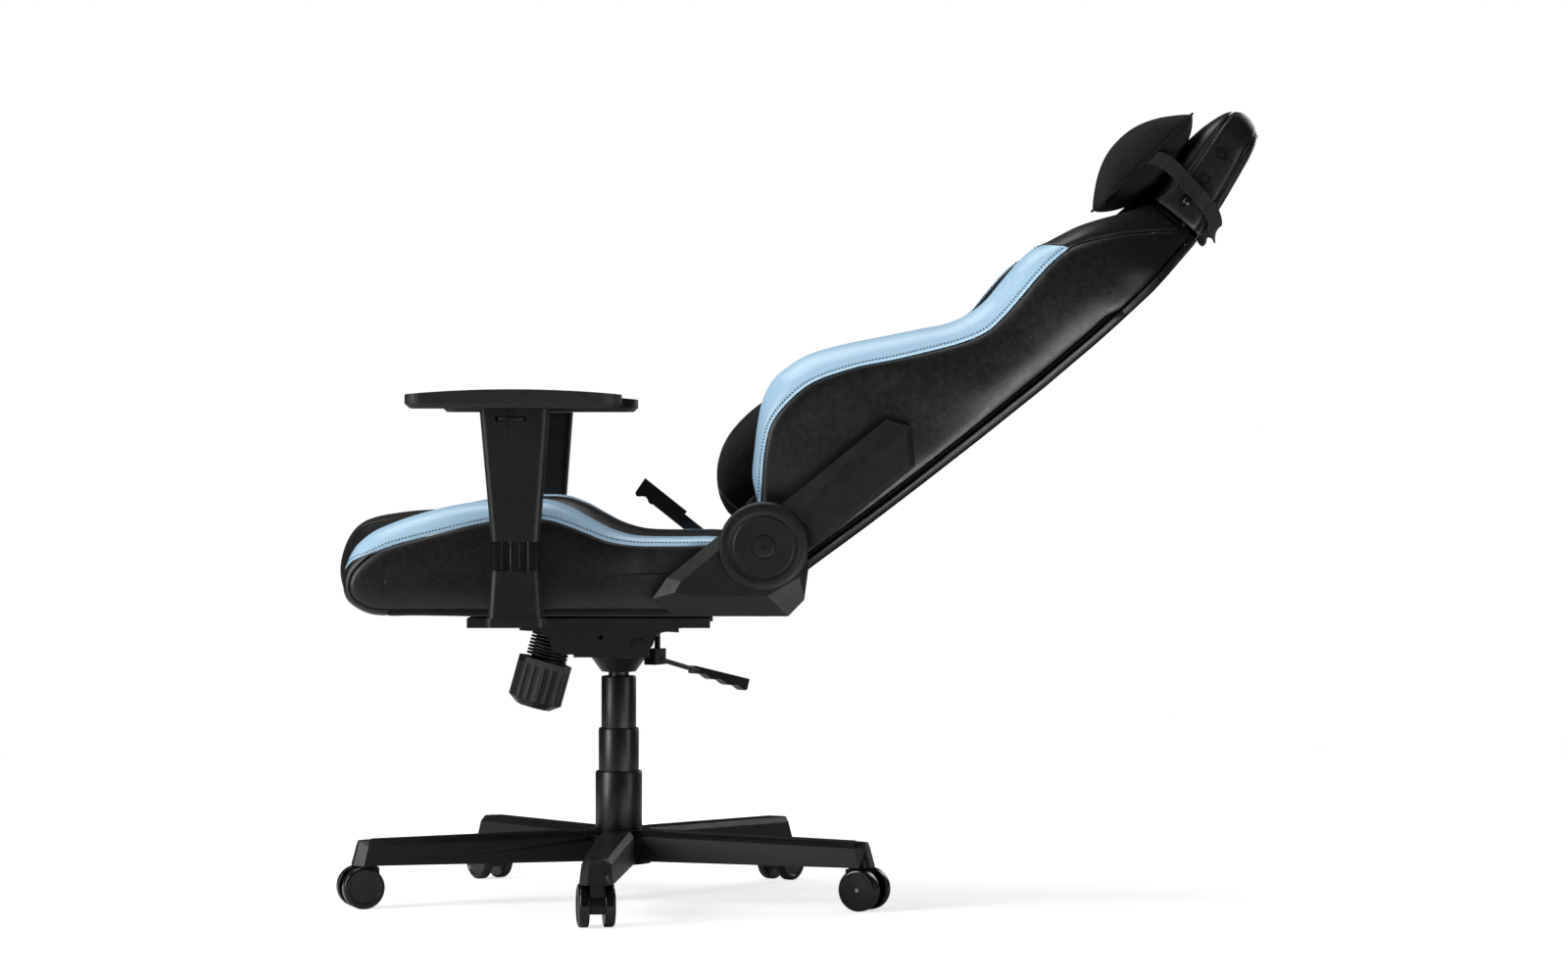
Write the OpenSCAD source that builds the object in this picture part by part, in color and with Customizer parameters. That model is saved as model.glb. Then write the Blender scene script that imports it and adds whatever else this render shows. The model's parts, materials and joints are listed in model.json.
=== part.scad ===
// Reclining gaming chair on a five-star base, shown leaning back.
// +X is the chair's left, +Y its back, +Z up. The origin is on the floor under the column.

/* [Base] */
// Radius of the circle of caster stems
stem_circle_r = 342; // [300:2:360]
// Turn of the star about the column, in degrees
base_turn = -2.5; // [-36:0.5:36]
// Height of a leg's flat underside above the floor
leg_bottom_z = 58; // [56:1:64]
// Height of a leg's top at its tip
leg_tip_z = 91; // [88:1:96]
// Height of a leg's top at the hub
leg_hub_z = 98; // [96:1:104]
// Outer radius of the hub
hub_r = 44; // [40:1:48]

/* [Casters] */
// Radius of a caster wheel
wheel_r = 28.5; // [26:0.5:29]
// Width of a caster wheel
wheel_w = 14; // [10:0.5:14]
// Distance between the middles of a caster's two wheels
wheel_gap = 34; // [34:0.5:38]
// Offset of the wheel axle from the stem
caster_trail = 16; // [12:1:18]
// Radius of the caster stem
stem_r = 5.5; // [4:0.5:6]

/* [Column] */
// Outer radius of the lower shroud
shroud_lower_r = 32; // [32:0.5:36]
// Outer radius of the middle shroud
shroud_middle_r = 27.6; // [27:0.1:28]
// Outer radius of the upper shroud
shroud_upper_r = 23.8; // [23.5:0.1:24]
// Wall of each shroud
shroud_wall = 1.6; // [1.2:0.1:1.8]
// Height of the lower shroud's rim
shroud_lower_top = 178; // [170:1:180]
// Height of the middle shroud's rim, raised
shroud_middle_top = 237; // [232:1:240]
// Height of the upper shroud's rim, raised
shroud_upper_top = 308; // [300:1:310]

/* [Mechanism] */
// Position of the tilt axle behind the column
tilt_y = 30; // [20:1:40]
// Height of the tilt axle
tilt_z = 352; // [350:1:354]
// Lean of the tension knob from upright, in degrees
knob_lean = 15.5; // [10:0.5:18]
// Radius of the tension knob over its corners
knob_r = 37; // [32:1:38]
// Height of the tension knob's grip
knob_h = 56; // [45:1:60]

/* [Seat] */
// Half of the seat's width
seat_half_w = 262; // [255:1:262]
// Half of the middle panel's width
panel_half_w = 165; // [150:1:170]
// Height of the seat's underside
seat_bottom = 400; // [400:1:402]

/* [Backrest] */
// Recline from upright, in degrees
recline = 45; // [40:1:45]
// Position of the recline pivot behind the column
pivot_y = 200; // [195:1:205]
// Height of the recline pivot
pivot_z = 492; // [490:1:494]
// Half of the head section's width
head_half_w = 136; // [125:1:140]

/* [Armrests] */
// Distance of an armrest post from the chair's middle
arm_x = 302; // [300:1:306]
// Position of an armrest post behind the column
arm_y = -122; // [-130:1:-115]
// Length of the arm pad
pad_length = 280; // [250:5:290]
// Width of the arm pad
pad_width = 94; // [80:1:96]

/* [Hidden] */
$fn = 64;

leg_tip_r = 369;
leg_count = 5;
// The way each caster's wheels trail from its stem, as an angle from +X
caster_headings = [188, 62, 145, 215, -70];
axle_r = 3;
stem_play = 0.06;
axle_play = 0.06;
gas_r = 21;
rod_r = 14;
piston_r = 5;
gas_top = 215;
hub_bottom = 50;
cone_bottom = 314;
cone_top = 334;
housing_x = 62;
housing_wall = 4;
plate_bottom = 378;
plate_top = 391;
pan_top = 414;
pan_bottom = 400;
pan_front = -297;
part_gap = 0.4;
pivot_play = 0.06;
bolt_r = 4;
pan_bolts = [[88, -165], [88, 100]];
arm_bolts = [[165, arm_y], [205, arm_y]];
cover_x = 263.5;
cover_top_x = 288;
disc_x = 288;
disc_r = 58.4;
sleeve_bottom = 499;
sleeve_top = 671;
shell_top = 461;
shell_bottom = 388;
post_top = 610;
post_w = 56;
post_t = 26;
pad_bottom = 671.6;
pad_crown_r = 1500;
pad_travel = 25;
socket_q = [722, 761, 801];
socket_p = [76, 72, 65];
socket_r = 5.5;
socket_depth = 14;
spring_top = 36;

tilt_axle_r = 6;
axle_bore_r = tilt_axle_r + pivot_play;
lever_pivot = [-32, 52, 330];
lever_mid = [-112, 98, 310];
lever_end = [-195, 172, 287];
lever_bearing = atan2(lever_mid[1] - lever_pivot[1], lever_mid[0] - lever_pivot[0]);
// The valve arm's outline from above, from its upright to the valve pin
valve_arm = [[-36, 49], [-36, 56], [-29, 56], [-7, 17], [4, 1], [3, -4], [-3, -4], [-13, 12]];

// The seat bolster's crest, back to front, as [y, z]
seat_crest = [[196, 505], [137, 506], [60, 507], [22, 510], [-4, 520], [-30, 536], [-62, 549],
    [-95, 554], [-144, 551], [-221, 537], [-270, 521], [-313, 503], [-336, 485], [-347, 463]];
// The seat panel's top, back to front
seat_top = [[196, 502], [130, 503], [40, 508], [-60, 517], [-160, 528], [-240, 534], [-290, 529],
    [-325, 510], [-343, 484], [-349, 455]];
// The seat's front and underside, from the front face to the back
seat_under = [[-350, 440], [-343, 419], [-322, 405], [-298, seat_bottom]];
// The rounded end of the seat below the backrest
seat_back = [[238, seat_bottom], [240, 455], [222, 484]];

// Backrest outlines as [p, q]: p is backwards and q is up the back, both from the pivot, when upright
back_rear = [[64, 20], [78, 114], [91, 211], [103, 308], [114, 407], [122, 508], [126, 600], [124, 690],
    [112, 758], [97, 815], [80, 850]];
bolster_crest = [[-50, 22], [-74, 53], [-98, 81], [-118, 107], [-134, 134], [-143, 163], [-134, 220],
    [-113, 259], [-84, 303], [-56, 346], [-36, 376], [-24, 410], [-21, 440], [-26, 500], [-23, 535],
    [-9, 580], [10, 622], [32, 660], [48, 700]];
panel_front = [[-58, 22], [-60, 110], [-55, 200], [-38, 300], [-16, 400], [2, 500], [16, 580], [30, 650],
    [34, 700], [27, 760], [26, 810], [31, 846]];
// Half of the back's width, as [x, q], from the bottom up
back_width = [[244, 18], [257, 90], [262, 170], [262, 260], [254, 340], [254, 420], [260, 500], [258, 560],
    [238, 610], [196, 650], [158, 690], [140, 720]];
head_width = [[136, 705], [137, 780], [130, 825], [108, 850], [80, 860]];
lumbar_front = [[-62, 20], [-94, 20], [-112, 27], [-126, 50], [-135, 78], [-139, 110], [-134, 145],
    [-112, 190], [-62, 225]];
shell_t = 10;
cavity = 40;

function mix(a, b, t) = a + (b - a) * t;
function blend(a, b, c, d, t) = 0.5 * (2 * b + (c - a) * t + (2 * a - 5 * b + 4 * c - d) * t * t
    + (3 * b - a - 3 * c + d) * t * t * t);
// A smooth line through the points, with n steps between each two
function smooth(p, n = 4) = concat([for (i = [0:len(p) - 2]) for (k = [0:n - 1])
    blend(p[max(i - 1, 0)], p[i], p[i + 1], p[min(i + 2, len(p) - 1)], k / n)], [p[len(p) - 1]]);
function flip(p) = [for (i = [len(p) - 1:-1:0]) p[i]];
function shift(p, d) = [for (v = p) v + d];
function leg_angle(i) = base_turn + (i - 1) * 360 / leg_count;

// A solid whose outline is in the YZ plane, from x0 to x1
module slab(outline, x0, x1) translate([x0, 0, 0]) rotate([90, 0, 90]) linear_extrude(x1 - x0)
    polygon(outline);

// A solid whose outline is in the XZ plane, as long as the whole chair
module front_slab(outline) rotate([90, 0, 0]) linear_extrude(2000, center = true) polygon(outline);

// Puts children, drawn for an upright back about its pivot, where the reclined back is
module on_back() translate([0, pivot_y, pivot_z]) rotate([-recline, 0, 0]) children();

// A round bar from a to b
module bar(a, b, r) {
    d = b - a;
    translate(a) rotate([0, acos(d[2] / norm(d)), atan2(d[1], d[0])]) cylinder(h = norm(d), r = r);
}

module x_cylinder(x0, x1, y, z, r) translate([x0, y, z]) rotate([0, 90, 0]) cylinder(h = x1 - x0, r = r);

module rounded_rect(w, d, r) hull() for (x = [-1, 1]) for (y = [-1, 1])
    translate([x * (w / 2 - r), y * (d / 2 - r)]) circle(r, $fn = 32);

// Children on the chair's left and, mirrored, on its right
module both_sides() {
    children();
    mirror([1, 0, 0]) children();
}

// ---- base, column and casters ----

// A leg's section: half widths at its foot, shoulder and top, and the shoulder's depth below the top
leg_hub = [28, 25, 18];
leg_corner = [22, 19.5, 14];
leg_end = [10, 8.8, 6.5];
leg_shoulder = 7;
function leg_section(w, x, z_foot, z_top) = [
    [x[0], -w[0], z_foot], [x[1], -w[1], z_top - leg_shoulder], [x[2], -w[2], z_top],
    [x[2], w[2], z_top], [x[1], w[1], z_top - leg_shoulder], [x[0], w[0], z_foot]];

module leg() {
    hub_end = 30;
    top_end = leg_tip_r - 9;
    // the tip leans back and its two corners are cut off
    tip_x = [leg_tip_r, leg_tip_r - 7, top_end];
    difference() {
        hull() polyhedron(concat(
            leg_section(leg_hub, [hub_end, hub_end, hub_end], leg_bottom_z - 1, leg_hub_z),
            leg_section(leg_corner, [for (x = tip_x) x - 12], leg_bottom_z, leg_tip_z),
            leg_section(leg_end, tip_x, leg_bottom_z, leg_tip_z)),
            concat([[0, 1, 2, 3, 4, 5], [17, 16, 15, 14, 13, 12]],
                [for (s = [0, 6]) for (i = [0:5]) [s + i, s + 6 + i, s + 6 + (i + 1) % 6, s + (i + 1) % 6]]));
        // pockets in the underside leave a web down the middle of the leg
        for (y = [-1, 1]) for (x = [78, 168, 248]) translate([x, y > 0 ? 2 : -15, leg_bottom_z - 5])
            cube([x == 168 ? 74 : 82, 13, 24]);
    }
    // raised panel along the top
    slope = atan2(leg_tip_z - leg_hub_z, top_end - hub_end);
    translate([70, -9, leg_hub_z - 1.8]) rotate([0, -slope, 0]) cube([272, 18, 2.2]);
}

module base_star() color("#1c1c1d") difference() {
    union() {
        for (i = [1:leg_count]) rotate(leg_angle(i)) leg();
        translate([0, 0, leg_bottom_z - 6]) cylinder(h = leg_hub_z - leg_bottom_z + 6, r = hub_r);
        // webs that round off the corners between the legs
        difference() {
            translate([0, 0, leg_bottom_z]) cylinder(h = leg_hub_z - leg_bottom_z - 4, r = 76);
            for (i = [1:leg_count]) rotate(leg_angle(i) + 36) translate([88, 0, 0])
                cylinder(h = 200, r = 38);
        }
    }
    translate([0, 0, hub_bottom - 5]) cylinder(h = 80, r1 = 19.4, r2 = 21.4);
    for (i = [1:leg_count]) rotate(leg_angle(i)) translate([stem_circle_r, 0, leg_bottom_z - 1])
        cylinder(h = 26, r = stem_r + stem_play);
}

module gas_outer_tube() color("#202021") difference() {
    union() {
        translate([0, 0, hub_bottom]) cylinder(h = 60, r1 = 19.4, r2 = 20.9);
        translate([0, 0, hub_bottom + 60]) cylinder(h = gas_top - hub_bottom - 60, r = 20.9);
    }
    translate([0, 0, hub_bottom + 5]) cylinder(h = gas_top - hub_bottom - 55, r = 17);
    cylinder(h = 400, r = rod_r + 0.08);
    translate([0, 0, 0]) cylinder(h = hub_bottom + 6, r = rod_r - 4);
}

// The rod, its piston and the bearing plate that closes the bottom of the gas spring
module piston_rod() color("#9a9c9e") {
    translate([0, 0, hub_bottom]) cylinder(h = 5, r = rod_r - 4);
    translate([0, 0, hub_bottom + 5]) cylinder(h = 115, r = piston_r);
    translate([0, 0, hub_bottom + 120]) cylinder(h = 10, r = rod_r - 3.2);
}

module gas_inner_cylinder() color("#3a3b3c") difference() {
    union() {
        translate([0, 0, 150]) cylinder(h = 168, r = rod_r);
        translate([0, 0, 318]) cylinder(h = 34, r1 = rod_r, r2 = rod_r - 1);
    }
    translate([0, 0, 162]) cylinder(h = 150, r = rod_r - 3);
    translate([0, 0, 100]) cylinder(h = 100, r = piston_r + 0.1);
    translate([0, 0, 310]) cylinder(h = 50, r = 4 + pivot_play);
}

// The pin in the top of the gas spring that the height lever presses
module valve_pin() color("#b0b2b4") {
    translate([0, 0, 318]) cylinder(h = 40.4, r = 4);
}

module shroud(bottom, top, r) translate([0, 0, bottom]) difference() {
    union() {
        cylinder(h = top - bottom - 2, r = r);
        translate([0, 0, top - bottom - 2]) cylinder(h = 2, r1 = r, r2 = r - 0.9);
    }
    translate([0, 0, -1]) cylinder(h = top - bottom + 2, r = r - shroud_wall);
}
module shroud_lower() color("#232325") shroud(leg_hub_z + 0.2, shroud_lower_top, shroud_lower_r);
module shroud_middle() color("#232325") shroud(147, shroud_middle_top, shroud_middle_r);
module shroud_upper() color("#232325") {
    shroud(198, shroud_upper_top, shroud_upper_r);
    // collar that hangs the shroud from the gas spring
    translate([0, 0, shroud_upper_top - 8]) difference() {
        cylinder(h = 3, r = shroud_upper_r - 1);
        translate([0, 0, -1]) cylinder(h = 5, r = rod_r + 0.08);
    }
}

// A caster in its own frame: the stem is at the origin and the wheels trail along +X
module hood() color("#17181a") {
    hood_w = wheel_gap - wheel_w - 1;
    // hood and horn over the wheels, open where they meet the floor
    difference() {
        union() {
            intersection() {
                translate([caster_trail, 0, wheel_r]) rotate([90, 0, 0])
                    cylinder(h = hood_w, r = wheel_r - 1.5, center = true);
                translate([-30, -20, 19]) cube([40 + caster_trail, 40, 50]);
            }
            translate([-8, -hood_w / 2, 22]) cube([14, hood_w, 33]);
            translate([0, 0, 40]) cylinder(h = leg_bottom_z - 41.4, r = 7.2);
        }
        translate([caster_trail + 2, -hood_w / 2 + 3, 10]) cube([40, hood_w - 6, 15]);
    }
    translate([0, 0, 30]) cylinder(h = leg_bottom_z - 30 + 22, r = stem_r);
    translate([caster_trail, 0, wheel_r]) rotate([90, 0, 0])
        cylinder(h = wheel_gap + 7.4, r = axle_r, center = true);
}

// A wheel with rounded rims, a blind bore on its inner side and a shallow dish outside
module wheel(side) color("#121213") translate([caster_trail, side * wheel_gap / 2, wheel_r])
    rotate([90 * side, 0, 0]) rotate_extrude() polygon(concat(
        [[axle_r + axle_play, wheel_w / 2]],
        [for (a = [90:-15:0]) [wheel_r - 2 + 2 * cos(a), wheel_w / 2 - 2 + 2 * sin(a)]],
        [for (a = [0:-15:-90]) [wheel_r - 4 + 4 * cos(a), -wheel_w / 2 + 4 + 4 * sin(a)]],
        [[wheel_r - 6.5, -wheel_w / 2], [wheel_r - 7.5, -wheel_w / 2 + 1], [0, -wheel_w / 2 + 0.6],
        [0, -wheel_w / 2 + 3], [axle_r + axle_play, -wheel_w / 2 + 3]]));

module at_caster(i) rotate(leg_angle(i)) translate([stem_circle_r, 0, 0])
    rotate(caster_headings[i - 1] - leg_angle(i)) children();
module caster_hood(i) at_caster(i) hood();
module caster_wheel(i, side) at_caster(i) wheel(side);

// ---- tilt mechanism ----

// Children drawn about the tension bolt: their origin is the middle of the knob's top face
module on_knob() translate([0, -100, 329]) rotate([-knob_lean, 0, 0]) children();

// Children drawn with +X along the height lever's rod, level, from its pivot
module on_height_lever() translate(lever_pivot) rotate([0, 0, lever_bearing]) children();

module mechanism_core() color("#27282a") difference() {
    union() {
        translate([0, 0, cone_bottom]) cylinder(h = cone_top - cone_bottom, r1 = 23.5, r2 = 38);
        translate([0, 0, cone_top]) cylinder(h = 5, r = 38);
        // channel that the tilt axle crosses
        difference() {
            translate([-42, -60, cone_top + 1]) cube([84, 102, 28]);
            translate([-38, -48, cone_top + 8]) cube([76, 100, 40]);
        }
        translate([0, 0, cone_top]) cylinder(h = 17, r = 19);
        // ear that the tension spring bears on
        on_knob() translate([-34, -30, spring_top]) cube([68, 82, 6]);
        // fork that carries the height lever
        on_height_lever() translate([-20, -9, -8]) cube([28, 18, 22]);
    }
    translate([0, 0, 300]) cylinder(h = 18, r = rod_r + 0.1);
    translate([0, 0, 318]) cylinder(h = 34, r1 = rod_r + 0.1, r2 = rod_r - 0.9);
    x_cylinder(-60, 60, tilt_y, tilt_z, axle_bore_r);
    // slot that the tension bolt swings in
    on_knob() translate([-8, -13, spring_top - 10]) cube([16, 22, 30]);
    on_height_lever() {
        translate([-8, -4.3, -9]) cube([60, 8.6, 24]);
        rotate([90, 0, 0]) cylinder(h = 40, r = 3 + pivot_play, center = true);
    }
}

module tilt_axle() color("#4a4c4f") {
    x_cylinder(-74, 74, tilt_y, tilt_z, tilt_axle_r);
    both_sides() x_cylinder(housing_x + housing_wall, 72, tilt_y, tilt_z, 9);
}

module tension_spring() color("#101011") on_knob() rotate_extrude() polygon(concat([[22, 0.5]],
    [for (i = [0:7]) each [[30, 2 + i * 4.2], [26.5, 4.1 + i * 4.2]]],
    [[26.5, spring_top - 0.6], [22, spring_top - 0.6]]));

module tension_knob() color("#1f2022") on_knob() {
    translate([0, 0, -knob_h]) difference() {
        union() {
            cylinder(h = knob_h, r = knob_r, $fn = 8);
            translate([0, 0, -10]) cylinder(h = 10, r1 = knob_r - 14, r2 = knob_r, $fn = 8);
        }
        // two grip grooves on each flat
        flat = knob_r * cos(22.5);
        for (i = [0:7]) rotate(i * 45 + 22.5) for (y = [-1, 1]) translate([flat + 1.2, y * 6, -14])
            cylinder(h = knob_h + 5, r = 3.6);
    }
    cylinder(h = 55, r = 5);
    translate([0, 0, 55]) cylinder(h = 5, r = 7.5);
}

module height_lever_rod() color("#0e0e0f") {
    bar(lever_pivot, mix(lever_mid, lever_end, 0.3), 3.4);
    on_height_lever() {
        rotate([90, 0, 0]) cylinder(h = 8, r = 6.5, center = true);
        rotate([90, 0, 0]) cylinder(h = 20, r = 3, center = true);
    }
    // bent plate that reaches over the tilt axle to the valve pin
    on_height_lever() translate([-3, -3, 0]) cube([6, 6, 35]);
    translate([0, 0, 361]) linear_extrude(4) polygon(valve_arm);
    translate([0, 0, 358.7]) cylinder(h = 4, r = 4.5);
}

// A finger grip along +X with its top face flat: length, height and thickness
module finger_grip(l, h, t) rotate([90, 0, 0]) linear_extrude(t, center = true) polygon(concat(
    [[0, 0], [l, 0], [l - 2, -h * 0.9]],
    [for (i = [0:24]) [(l - 8) * (1 - i / 24) + 2, -h * (0.92 - 0.4 * i / 24) - h * 0.1 * cos(i * 45)]],
    [[0, -h * 0.55]]));

module height_lever_grip() color("#131314") difference() {
    d = lever_end - lever_mid;
    translate(lever_mid) rotate([0, 0, atan2(d[1], d[0])]) rotate([0, -asin(d[2] / norm(d)), 0])
        translate([0, 0, 6]) finger_grip(norm(d), 17, 14);
    bar(lever_pivot, mix(lever_mid, lever_end, 0.3), 3.4);
}

// ---- seat ----

// One pressed side plate of the seat's tilt housing
module housing_side() {
    outline = concat([[-132, plate_bottom + 1], [-132, plate_bottom - 5], [-118, plate_bottom - 6]],
        [for (a = [80:-16:0]) [-115 + 27 * cos(a), 346 + 27 * sin(a)]],
        [for (a = [180:18:270]) [-72 + 14 * cos(a), 354 + 14 * sin(a)]],
        [for (a = [270:18:360]) [34 + 12 * cos(a), 352 + 12 * sin(a)]],
        [for (a = [180:-18:90]) [68 + 22 * cos(a), 349 + 22 * sin(a)]],
        [[84, 370], [84, plate_bottom + 1]]);
    slab(outline, housing_x, housing_x + housing_wall);
}

module tilt_housing() color("#202123") difference() {
    union() {
        both_sides() housing_side();
        // top plate with a stiffening rim, under the seat
        translate([-112, -200, plate_top - 4]) cube([224, 327, 4]);
        both_sides() {
            translate([104, -200, plate_bottom]) cube([8, 327, 10]);
            translate([housing_x - 2, -132, plate_bottom]) cube([6, 216, 10]);
            for (b = pan_bolts) translate([b[0], b[1], plate_top - 1])
                cylinder(h = pan_bottom - plate_top + 1, r = 11);
        }
        translate([-16, -130, plate_bottom + 1.5]) cube([32, 60, 10]);
    }
    both_sides() for (b = pan_bolts) translate([b[0], b[1], 300]) cylinder(h = 120, r = bolt_r + 0.2);
    x_cylinder(-80, 80, tilt_y, tilt_z, tilt_axle_r);
    both_sides() x_cylinder(50, 80, -22, 363, 3);
    on_knob() {
        cylinder(h = 55, r = 5 + pivot_play);
        translate([0, 0, 55]) cylinder(h = 5.8, r = 7.8);
    }
}

module seat_pan() color("#2b2c2e") difference() {
    translate([-225, pan_front, pan_bottom]) cube([450, 208 - pan_front, pan_top - pan_bottom]);
    both_sides() for (b = concat(pan_bolts, arm_bolts)) translate([b[0], b[1], 380])
        cylinder(h = 60, r = bolt_r + 0.2);
}

module bolt(x, y, seat_z, length) translate([x, y, seat_z]) {
    translate([0, 0, -4.4]) cylinder(h = 4.4, r = 6.6);
    cylinder(h = length, r = bolt_r);
}
module mounting_bolts() color("#6c6e70") both_sides() {
    for (b = pan_bolts) bolt(b[0], b[1], plate_top - 4, 26);
    for (b = arm_bolts) bolt(b[0], b[1], pan_bottom - 8, 21);
}

module seat_pad() color("#1b1b1c") slab(concat(smooth(seat_top), smooth(seat_under),
    [[-298, pan_top + part_gap], [225, pan_top + part_gap], [240, 455], [222, 484]]),
    -panel_half_w, panel_half_w);

module seat_bolster() difference() {
    intersection() {
        slab(concat(smooth(seat_crest), smooth(seat_under), seat_back),
            panel_half_w + part_gap, seat_half_w);
        // the outer edge is rounded over
        front_slab(concat([[0, 395], [seat_half_w - 8, 395], [seat_half_w - 4, 402], [seat_half_w, 420]],
            [for (a = [0:10:90]) [seat_half_w - 42 + 42 * cos(a), 517 + 42 * sin(a)]], [[0, 559]]));
    }
    translate([-226, pan_front - 1, 395]) cube([452, 211 - pan_front, pan_top + part_gap - 395]);
    // room for the hinge plate's foot
    translate([200, 105, 395]) cube([100, 123, 14]);
}
module seat_bolsters() color("#4f7fa3") both_sides() seat_bolster();

// ---- recline hinges, drawn for the left ----

lower_outline = [[55, 424], [74, 451], [146, 510], [200, 520], [257, 492], [258, 459], [253, 422],
    [232, 400.5], [85, 400.5]];
lower_crown = [[84, 432], [92, 446], [150, 494], [200, 502], [246, 484], [247, 452], [205, 427.5],
    [111, 427.5]];
// Upper cover as [p, q] from the pivot
upper_outline = [[-24, 36], [-21, 62], [-4, 230], [26, 247], [66, 214], [50, 54], [44, 40]];
lever_pivot_y = 133;
lever_pivot_z = 474;
lever_angle = 141.4;
pivot_r = 10;
upper_crown = [[2, 58], [14, 100], [22, 196], [26, 238], [58, 209], [44, 62]];

// A shell with a bevelled face: the outline at its foot, the crown on its face
module bevelled_shell(outline, crown, x0, x1, wall) difference() {
    hull() {
        slab(outline, x0, x0 + 12);
        slab(crown, x1 - 0.5, x1);
    }
    intersection() {
        hull() {
            slab(outline, x0 - 1, x0 + 12 - wall);
            slab(crown, x1 - wall - 0.5, x1 - wall);
        }
        translate([x0 - 2, 0, 0]) rotate([90, 0, 90]) linear_extrude(x1 - x0)
            offset(delta = -wall) polygon(outline);
    }
}

module lower_cover() difference() {
    bevelled_shell(lower_outline, lower_crown, cover_x, disc_x, 2.5);
    x_cylinder(255, 300, pivot_y, pivot_z, disc_r - 12);
    // the sector that the back's cover swings through
    translate([0, pivot_y, pivot_z]) slab([[0, 0], [90, -8], [90, 90], [-76, 90]], 255, 300);
}
module hinge_covers_lower() color("#1d1e1f") {
    lower_cover();
    difference() {
        mirror([1, 0, 0]) lower_cover();
        x_cylinder(-300, -255, lever_pivot_y, lever_pivot_z, 5.6);
    }
}

module hinge_covers_upper() color("#2a2b2c") on_back() both_sides() difference() {
    bevelled_shell(upper_outline, upper_crown, cover_x, disc_x - 3, 2.5);
    x_cylinder(255, 300, 0, 0, disc_r - 12);
    // slot for the hinge plate
    slab([[-16, 20], [-10, 60], [46, 60], [40, 20]], 255, 270.5);
}

module hinge_seat_plates() color("#5c5e60") difference() {
    both_sides() {
        slab([[88, 436], [122, 478], [150, 500], [190, 502], [236, 480], [244, 440], [225, 408],
            [225, 407], [108, 407], [100, 408]], 270.5, 275.5);
        x_cylinder(270.5, 275.5, pivot_y, pivot_z, 40);
        // foot that is welded to the seat pan
        translate([225, 108, 403]) cube([48, 117, 5]);
    }
    x_cylinder(-300, 300, pivot_y, pivot_z, pivot_r + pivot_play);
    x_cylinder(-300, -255, lever_pivot_y, lever_pivot_z, 5 + pivot_play);
}

module hinge_back_plates() color("#5c5e60") on_back() both_sides() {
    slab([[-10, 30], [-2, 80], [14, 200], [30, 232], [52, 205], [40, 70], [34, 30]], 264.5, 269.5);
    x_cylinder(264.5, 269.5, 0, 0, 40);
    // pivot stub, inside the seat plate's bore
    x_cylinder(269.5, 284, 0, 0, pivot_r);
}

module hinge_discs() color("#242526") both_sides() translate([disc_x, pivot_y, pivot_z])
    rotate([0, 90, 0]) rotate_extrude() polygon([[0, -3], [30, -3], [30, 0], [disc_r, 0], [disc_r, 6], [disc_r - 3, 9],
        [disc_r - 11, 10], [disc_r - 12.5, 8], [disc_r - 18, 7.2], [disc_r - 20, 9], [16.5, 9], [16, 8],
        [15, 8], [14.5, 9.6], [0, 10]]);

// Children drawn along +X from the recline lever's pivot, on the chair's right
module on_recline_lever() translate([-288.6, lever_pivot_y, lever_pivot_z]) rotate([lever_angle, 0, 0])
    rotate([0, 0, 90]) children();

module recline_lever_arm() color("#2c2d2f") on_recline_lever() {
    rotate([-90, 0, 0]) cylinder(h = 4, r = 10.5);
    translate([0, 0, -9]) cube([120, 4, 18]);
    // pin that turns in the hinge plate
    rotate([90, 0, 0]) cylinder(h = 18, r = 5);
}

module recline_lever_grip() color("#141516") on_recline_lever() difference() {
    translate([70, 2, -13.75]) mirror([0, 0, 1]) finger_grip(77, 27.5, 14);
    translate([-5, 0, -9]) cube([125, 4, 18]);
}

// ---- armrests, drawn for the left ----

// A tapered block with rounded corners between two heights
module tapered_block(y0, w0, t0, z0, y1, w1, t1, z1) hull() {
    translate([arm_x, y0, z0]) linear_extrude(0.5) rounded_rect(t0, w0, 9);
    translate([arm_x, y1, z1 - 0.5]) linear_extrude(0.5) rounded_rect(t1, w1, 9);
}

// The post's section has two channels along each broad face
module post_section(play) difference() {
    square([post_t + 2 * play, post_w + 2 * play], center = true);
    for (x = [-1, 1]) for (y = [-12, 11]) translate([x * (post_t / 2 + play), y])
        square([8 - 4 * play, 12 - 4 * play], center = true);
}

module arm_brackets() color("#0b0b0c") both_sides() {
    translate([arm_x, arm_y, pan_bottom - 8]) linear_extrude(post_top - pan_bottom + 8) post_section(0);
    difference() {
        translate([145, arm_y - 28, pan_bottom - 8]) cube([arm_x - 145 + 12, 56, 8]);
        for (b = arm_bolts) translate([b[0], b[1], pan_bottom - 20]) cylinder(h = 40, r = bolt_r + 0.2);
    }
}

module arm_shells() color("#222324") both_sides() difference() {
    union() {
        tapered_block(arm_y, 72, 42, shell_bottom, arm_y, 62.5, 36, shell_top);
        translate([arm_x, arm_y, shell_bottom]) linear_extrude(11.6) rounded_rect(44, 76, 9);
    }
    translate([arm_x, arm_y, shell_bottom + 2.5]) linear_extrude(200)
        square([post_t + 1, post_w + 1], center = true);
    translate([100, arm_y - 28.5, shell_bottom + 2.5]) cube([arm_x - 85, 57, 9.9]);
}

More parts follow.
